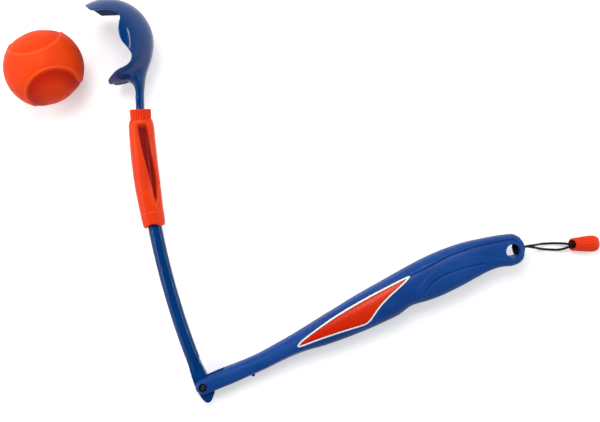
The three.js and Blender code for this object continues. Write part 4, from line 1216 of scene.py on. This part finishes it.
def surface(tree, shader, look, base, height=None):
    """Base colour, roughness, grain and the shader's own settings, as a look gives them."""
    tree.links.new(base, shader.inputs["Base Color"])
    flow = noise(tree, look["flow_scale"], look["flow_detail"])
    tree.links.new(spread(tree, flow, *look["roughness"]), shader.inputs["Roughness"])
    grain = tree.nodes.new("ShaderNodeBump")
    grain.inputs["Strength"].default_value = look["grain"]
    grain.inputs["Distance"].default_value = look["grain_depth"]
    if height is None:
        height = noise(tree, look["grain_scale"], GRAIN_DETAIL)
    tree.links.new(height, grain.inputs["Height"])
    tree.links.new(grain.outputs["Normal"], shader.inputs["Normal"])
    for setting, value in look["shader"].items():
        shader.inputs[setting].default_value = value


def moulded_plastic(name, look):
    """Moulded plastic: slow shifts of tone, a painted highlight on its edges, a fine grain, and painted shade
    in its wells.
    """
    made, tree, shader = new_material(name)
    base = blend_colours(tree, spread(tree, noise(tree, TONE_SCALE), 0, 1), look["deep"], look["light"])
    # Sharp edges get a painted highlight, found by pointiness
    edges = tree.nodes.new("ShaderNodeNewGeometry").outputs["Pointiness"]
    base = blend_colours(tree, spread(tree, edges, 0, 1, EDGE_HIGHLIGHT_SPAN), base, look["edge_highlight"])
    # Painted shade in the wells that the pieces mark
    if "well_shade" in look:
        base = blend_colours(tree, mark_value(tree, "well"), base, look["well_shade"])
    surface(tree, shader, look, base)
    return made


def badge_red():
    """The badge's field turns from red by the hinge to orange by the grip: painted shading, darker toward the
    bottom and lighter toward the top.
    """
    made, tree, shader = new_material("badge_red")
    parts = tree.nodes.new("ShaderNodeSeparateXYZ")
    tree.links.new(own_place(tree), parts.inputs["Vector"])
    low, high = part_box("badge_panel")
    share = spread(tree, parts.outputs["Y"], 0, 1, (low.y, high.y))
    base = blend_colours(tree, share, FIELD_LOOK["shaded_hinge_end"], FIELD_LOOK["lit_grip_end"])
    surface(tree, shader, FIELD_LOOK, base)
    return made


def ball_rubber():
    """Matt rubber, stippled on the band between the dishes, with painted shade down in them and a painted
    highlight on their rims.
    """
    look = RUBBER_LOOK
    made, tree, shader = new_material("ball_rubber")
    mottle = spread(tree, noise(tree, look["tone_scale"], look["tone_detail"]), 0, 1)
    base = blend_colours(tree, mottle, look["deep"], look["light"])
    # Painted shade in the dishes
    base = blend_colours(tree, mark_value(tree, "shade"), base, look["shaded"])
    # A painted highlight on the dishes' rims
    rim = spread(tree, mark_value(tree, "rim"), 0, look["rim_highlight_share"], (0, 1))
    base = blend_colours(tree, rim, base, look["rim"])
    stipple = tree.nodes.new("ShaderNodeTexVoronoi")
    stipple.inputs["Scale"].default_value = look["stipple_scale"]
    tree.links.new(own_place(tree), stipple.inputs["Vector"])
    band = spread(tree, mark_value(tree, "band"), *look["stipple_span"], (0, 1))
    height = maths(tree, "MULTIPLY", stipple.outputs["Distance"], band)
    surface(tree, shader, look, base, height)
    return made


def cord_weave():
    """Dark woven cord, paler on the raised threads of its braid."""
    made, tree, shader = new_material("cord_weave")
    raised = spread(tree, mark_value(tree, "braid"), 0, 1, CORD_LOOK["braid_span"])
    base = blend_colours(tree, raised, CORD_LOOK["deep"], CORD_LOOK["light"])
    surface(tree, shader, CORD_LOOK, base)
    return made


def dark_steel():
    made, tree, shader = new_material("dark_steel")
    mottle = noise(tree, STEEL_LOOK["tone_scale"], STEEL_LOOK["tone_detail"])
    base = blend_colours(tree, spread(tree, mottle, 0, 1), STEEL_LOOK["deep"], STEEL_LOOK["light"])
    surface(tree, shader, STEEL_LOOK, base)
    return made


def dress(piece, material):
    piece.data.materials.clear()
    piece.data.materials.append(material)


# Stage, lights and camera


def seen_rays(tree):
    """1 for what the camera, a reflection or a clear surface sees."""
    path = tree.nodes.new("ShaderNodeLightPath")
    total = path.outputs["Is Camera Ray"]
    for name in ("Is Glossy Ray", "Is Transmission Ray"):
        total = maths(tree, "MAXIMUM", total, path.outputs[name])
    return total


def floor_white():
    """A white floor that keeps its shadows, with a glow that only seen rays meet and that grows far off."""
    made, tree, shader = new_material("floor_white")
    shader.inputs["Base Color"].default_value = (*FLOOR_COLOUR, 1)
    shader.inputs["Roughness"].default_value = FLOOR_ROUGHNESS
    shader.inputs["Specular IOR Level"].default_value = 0
    path = tree.nodes.new("ShaderNodeLightPath")
    near = spread(tree, path.outputs["Is Camera Ray"], REFLECTED_LIFT, FLOOR_LIFT, (0, 1))
    away = tree.nodes.new("ShaderNodeVectorMath")
    away.operation = "LENGTH"
    tree.links.new(own_place(tree), away.inputs[0])
    far = spread(tree, away.outputs["Value"], 0, FAR_LIFT, FAR_SPAN)
    lift = maths(tree, "MULTIPLY", seen_rays(tree), maths(tree, "MAXIMUM", near, far))
    glow = tree.nodes.new("ShaderNodeEmission")
    tree.links.new(lift, glow.inputs["Strength"])
    both = tree.nodes.new("ShaderNodeAddShader")
    tree.links.new(shader.outputs["BSDF"], both.inputs[0])
    tree.links.new(glow.outputs["Emission"], both.inputs[1])
    tree.links.new(both.outputs["Shader"], tree.nodes["Material Output"].inputs["Surface"])
    return made


def studio_floor():
    bpy.ops.mesh.primitive_plane_add(size=FLOOR_SIZE, location=(0, 0, -FLOOR_DROP))
    floor = bpy.context.object
    floor.name = "studio_floor"
    floor.data.materials.append(floor_white())


def surround():
    """White all round and darker overhead where it is seen, and a plain level of diffuse light."""
    world = bpy.data.worlds.new("surround")
    bpy.context.scene.world = world
    world.use_nodes = True
    tree = world.node_tree
    parts = tree.nodes.new("ShaderNodeSeparateXYZ")
    place = tree.nodes.new("ShaderNodeTexCoord")
    tree.links.new(place.outputs["Generated"], parts.inputs["Vector"])
    strength = tree.nodes.new("ShaderNodeMix")
    strength.inputs["A"].default_value = WORLD_LEVEL
    tree.links.new(seen_rays(tree), strength.inputs["Factor"])
    overhead = spread(tree, parts.outputs["Z"], 1, ZENITH_LEVEL, OVERHEAD_SPAN)
    tree.links.new(overhead, strength.inputs["B"])
    tree.links.new(strength.outputs["Result"], tree.nodes["Background"].inputs["Strength"])
    tree.nodes["Background"].inputs["Color"].default_value = (1, 1, 1, 1)


def softbox(name, place, size, power):
    """An area lamp that faces the object's middle."""
    lamp = bpy.data.lights.new(name, "AREA")
    lamp.shape = "RECTANGLE"
    lamp.size, lamp.size_y = size
    lamp.energy = power
    made = bpy.data.objects.new(name, lamp)
    made.location = place
    made.rotation_euler = (-Vector(place)).to_track_quat("-Z", "Y").to_euler()
    bpy.context.scene.collection.objects.link(made)


def camera():
    lens = bpy.data.cameras.new("camera")
    lens.lens = CAMERA_LENS
    lens.sensor_width = CAMERA_SENSOR
    lens.sensor_fit = "HORIZONTAL"
    made = bpy.data.objects.new("camera", lens)
    made.location = CAMERA_PLACE
    bpy.context.scene.collection.objects.link(made)
    bpy.context.scene.camera = made


# The dressed part


def place_piece(piece, body, slot, material, *nodes):
    """Sets a piece on its body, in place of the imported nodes."""
    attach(piece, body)
    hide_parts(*nodes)
    dress(piece, material)


def dressed_lanyard(orange):
    weave = cord_weave()
    toggle = toggle_piece()
    place_piece(toggle, "handle", "toggle_plastic", orange, "lanyard_toggle")
    place_piece(stopper_piece(), "handle", "cord", weave, "lanyard_knot")
    inner_knot = inner_knot_piece()
    place_piece(inner_knot, "handle", "cord", weave, "toggle_knot")
    cords = (
        ("cord_upper", UPPER_ROUTE, "lanyard_strand_upper", (toggle, inner_knot)),
        ("cord_lower", LOWER_ROUTE, "lanyard_strand_lower", ()),
    )
    for name, route, node, others in cords:
        piece, path, length = braided_cord(name, route)
        place_piece(piece, "handle", "cord", weave, node)


def dressed_handle():
    blue = moulded_plastic("satin_blue", HANDLE_LOOK)
    front, back = handle_pieces()
    place_piece(front, "handle", "handle_plastic", blue, "handle_shell_front")
    place_piece(back, "handle", "handle_plastic", blue, "handle_shell_back")
    rim, field = badge_pieces()
    white = moulded_plastic("badge_white", BORDER_LOOK)
    place_piece(rim, "handle", "badge_border", white, "badge_border")
    place_piece(field, "handle", "badge_field", badge_red(), "badge_panel")


def dressed_hinge():
    steel = dark_steel()
    place_piece(screw_piece(), "handle", "steel", steel, "pivot_screw")
    place_piece(nut_piece(), "handle", "steel", steel, "pivot_barrel_nut")
    for node in ("pivot_washer_front", "pivot_washer_back"):
        dress(frame["nodes"][node], steel)


def dressed_part():
    orange = moulded_plastic("orange_plastic", ORANGE_LOOK)
    dressed_lanyard(orange)
    dressed_handle()
    arm_plastic = moulded_plastic("gloss_blue", ARM_LOOK)
    place_piece(arm_piece(), "arm", "arm_plastic", arm_plastic, "throwing_arm")
    place_piece(sleeve_piece(), "collar", "sleeve_plastic", orange, "lock_sleeve")
    place_piece(ring_piece(), "collar", "sleeve_plastic", orange, "sleeve_ring")
    place_piece(ball_piece(), "ball", "ball_rubber", ball_rubber(), "ball")
    dressed_hinge()


camera()
dressed_part()
studio_floor()
surround()
for lamp in LAMPS:
    softbox(*lamp)
bpy.context.scene.view_settings.view_transform = "Standard"
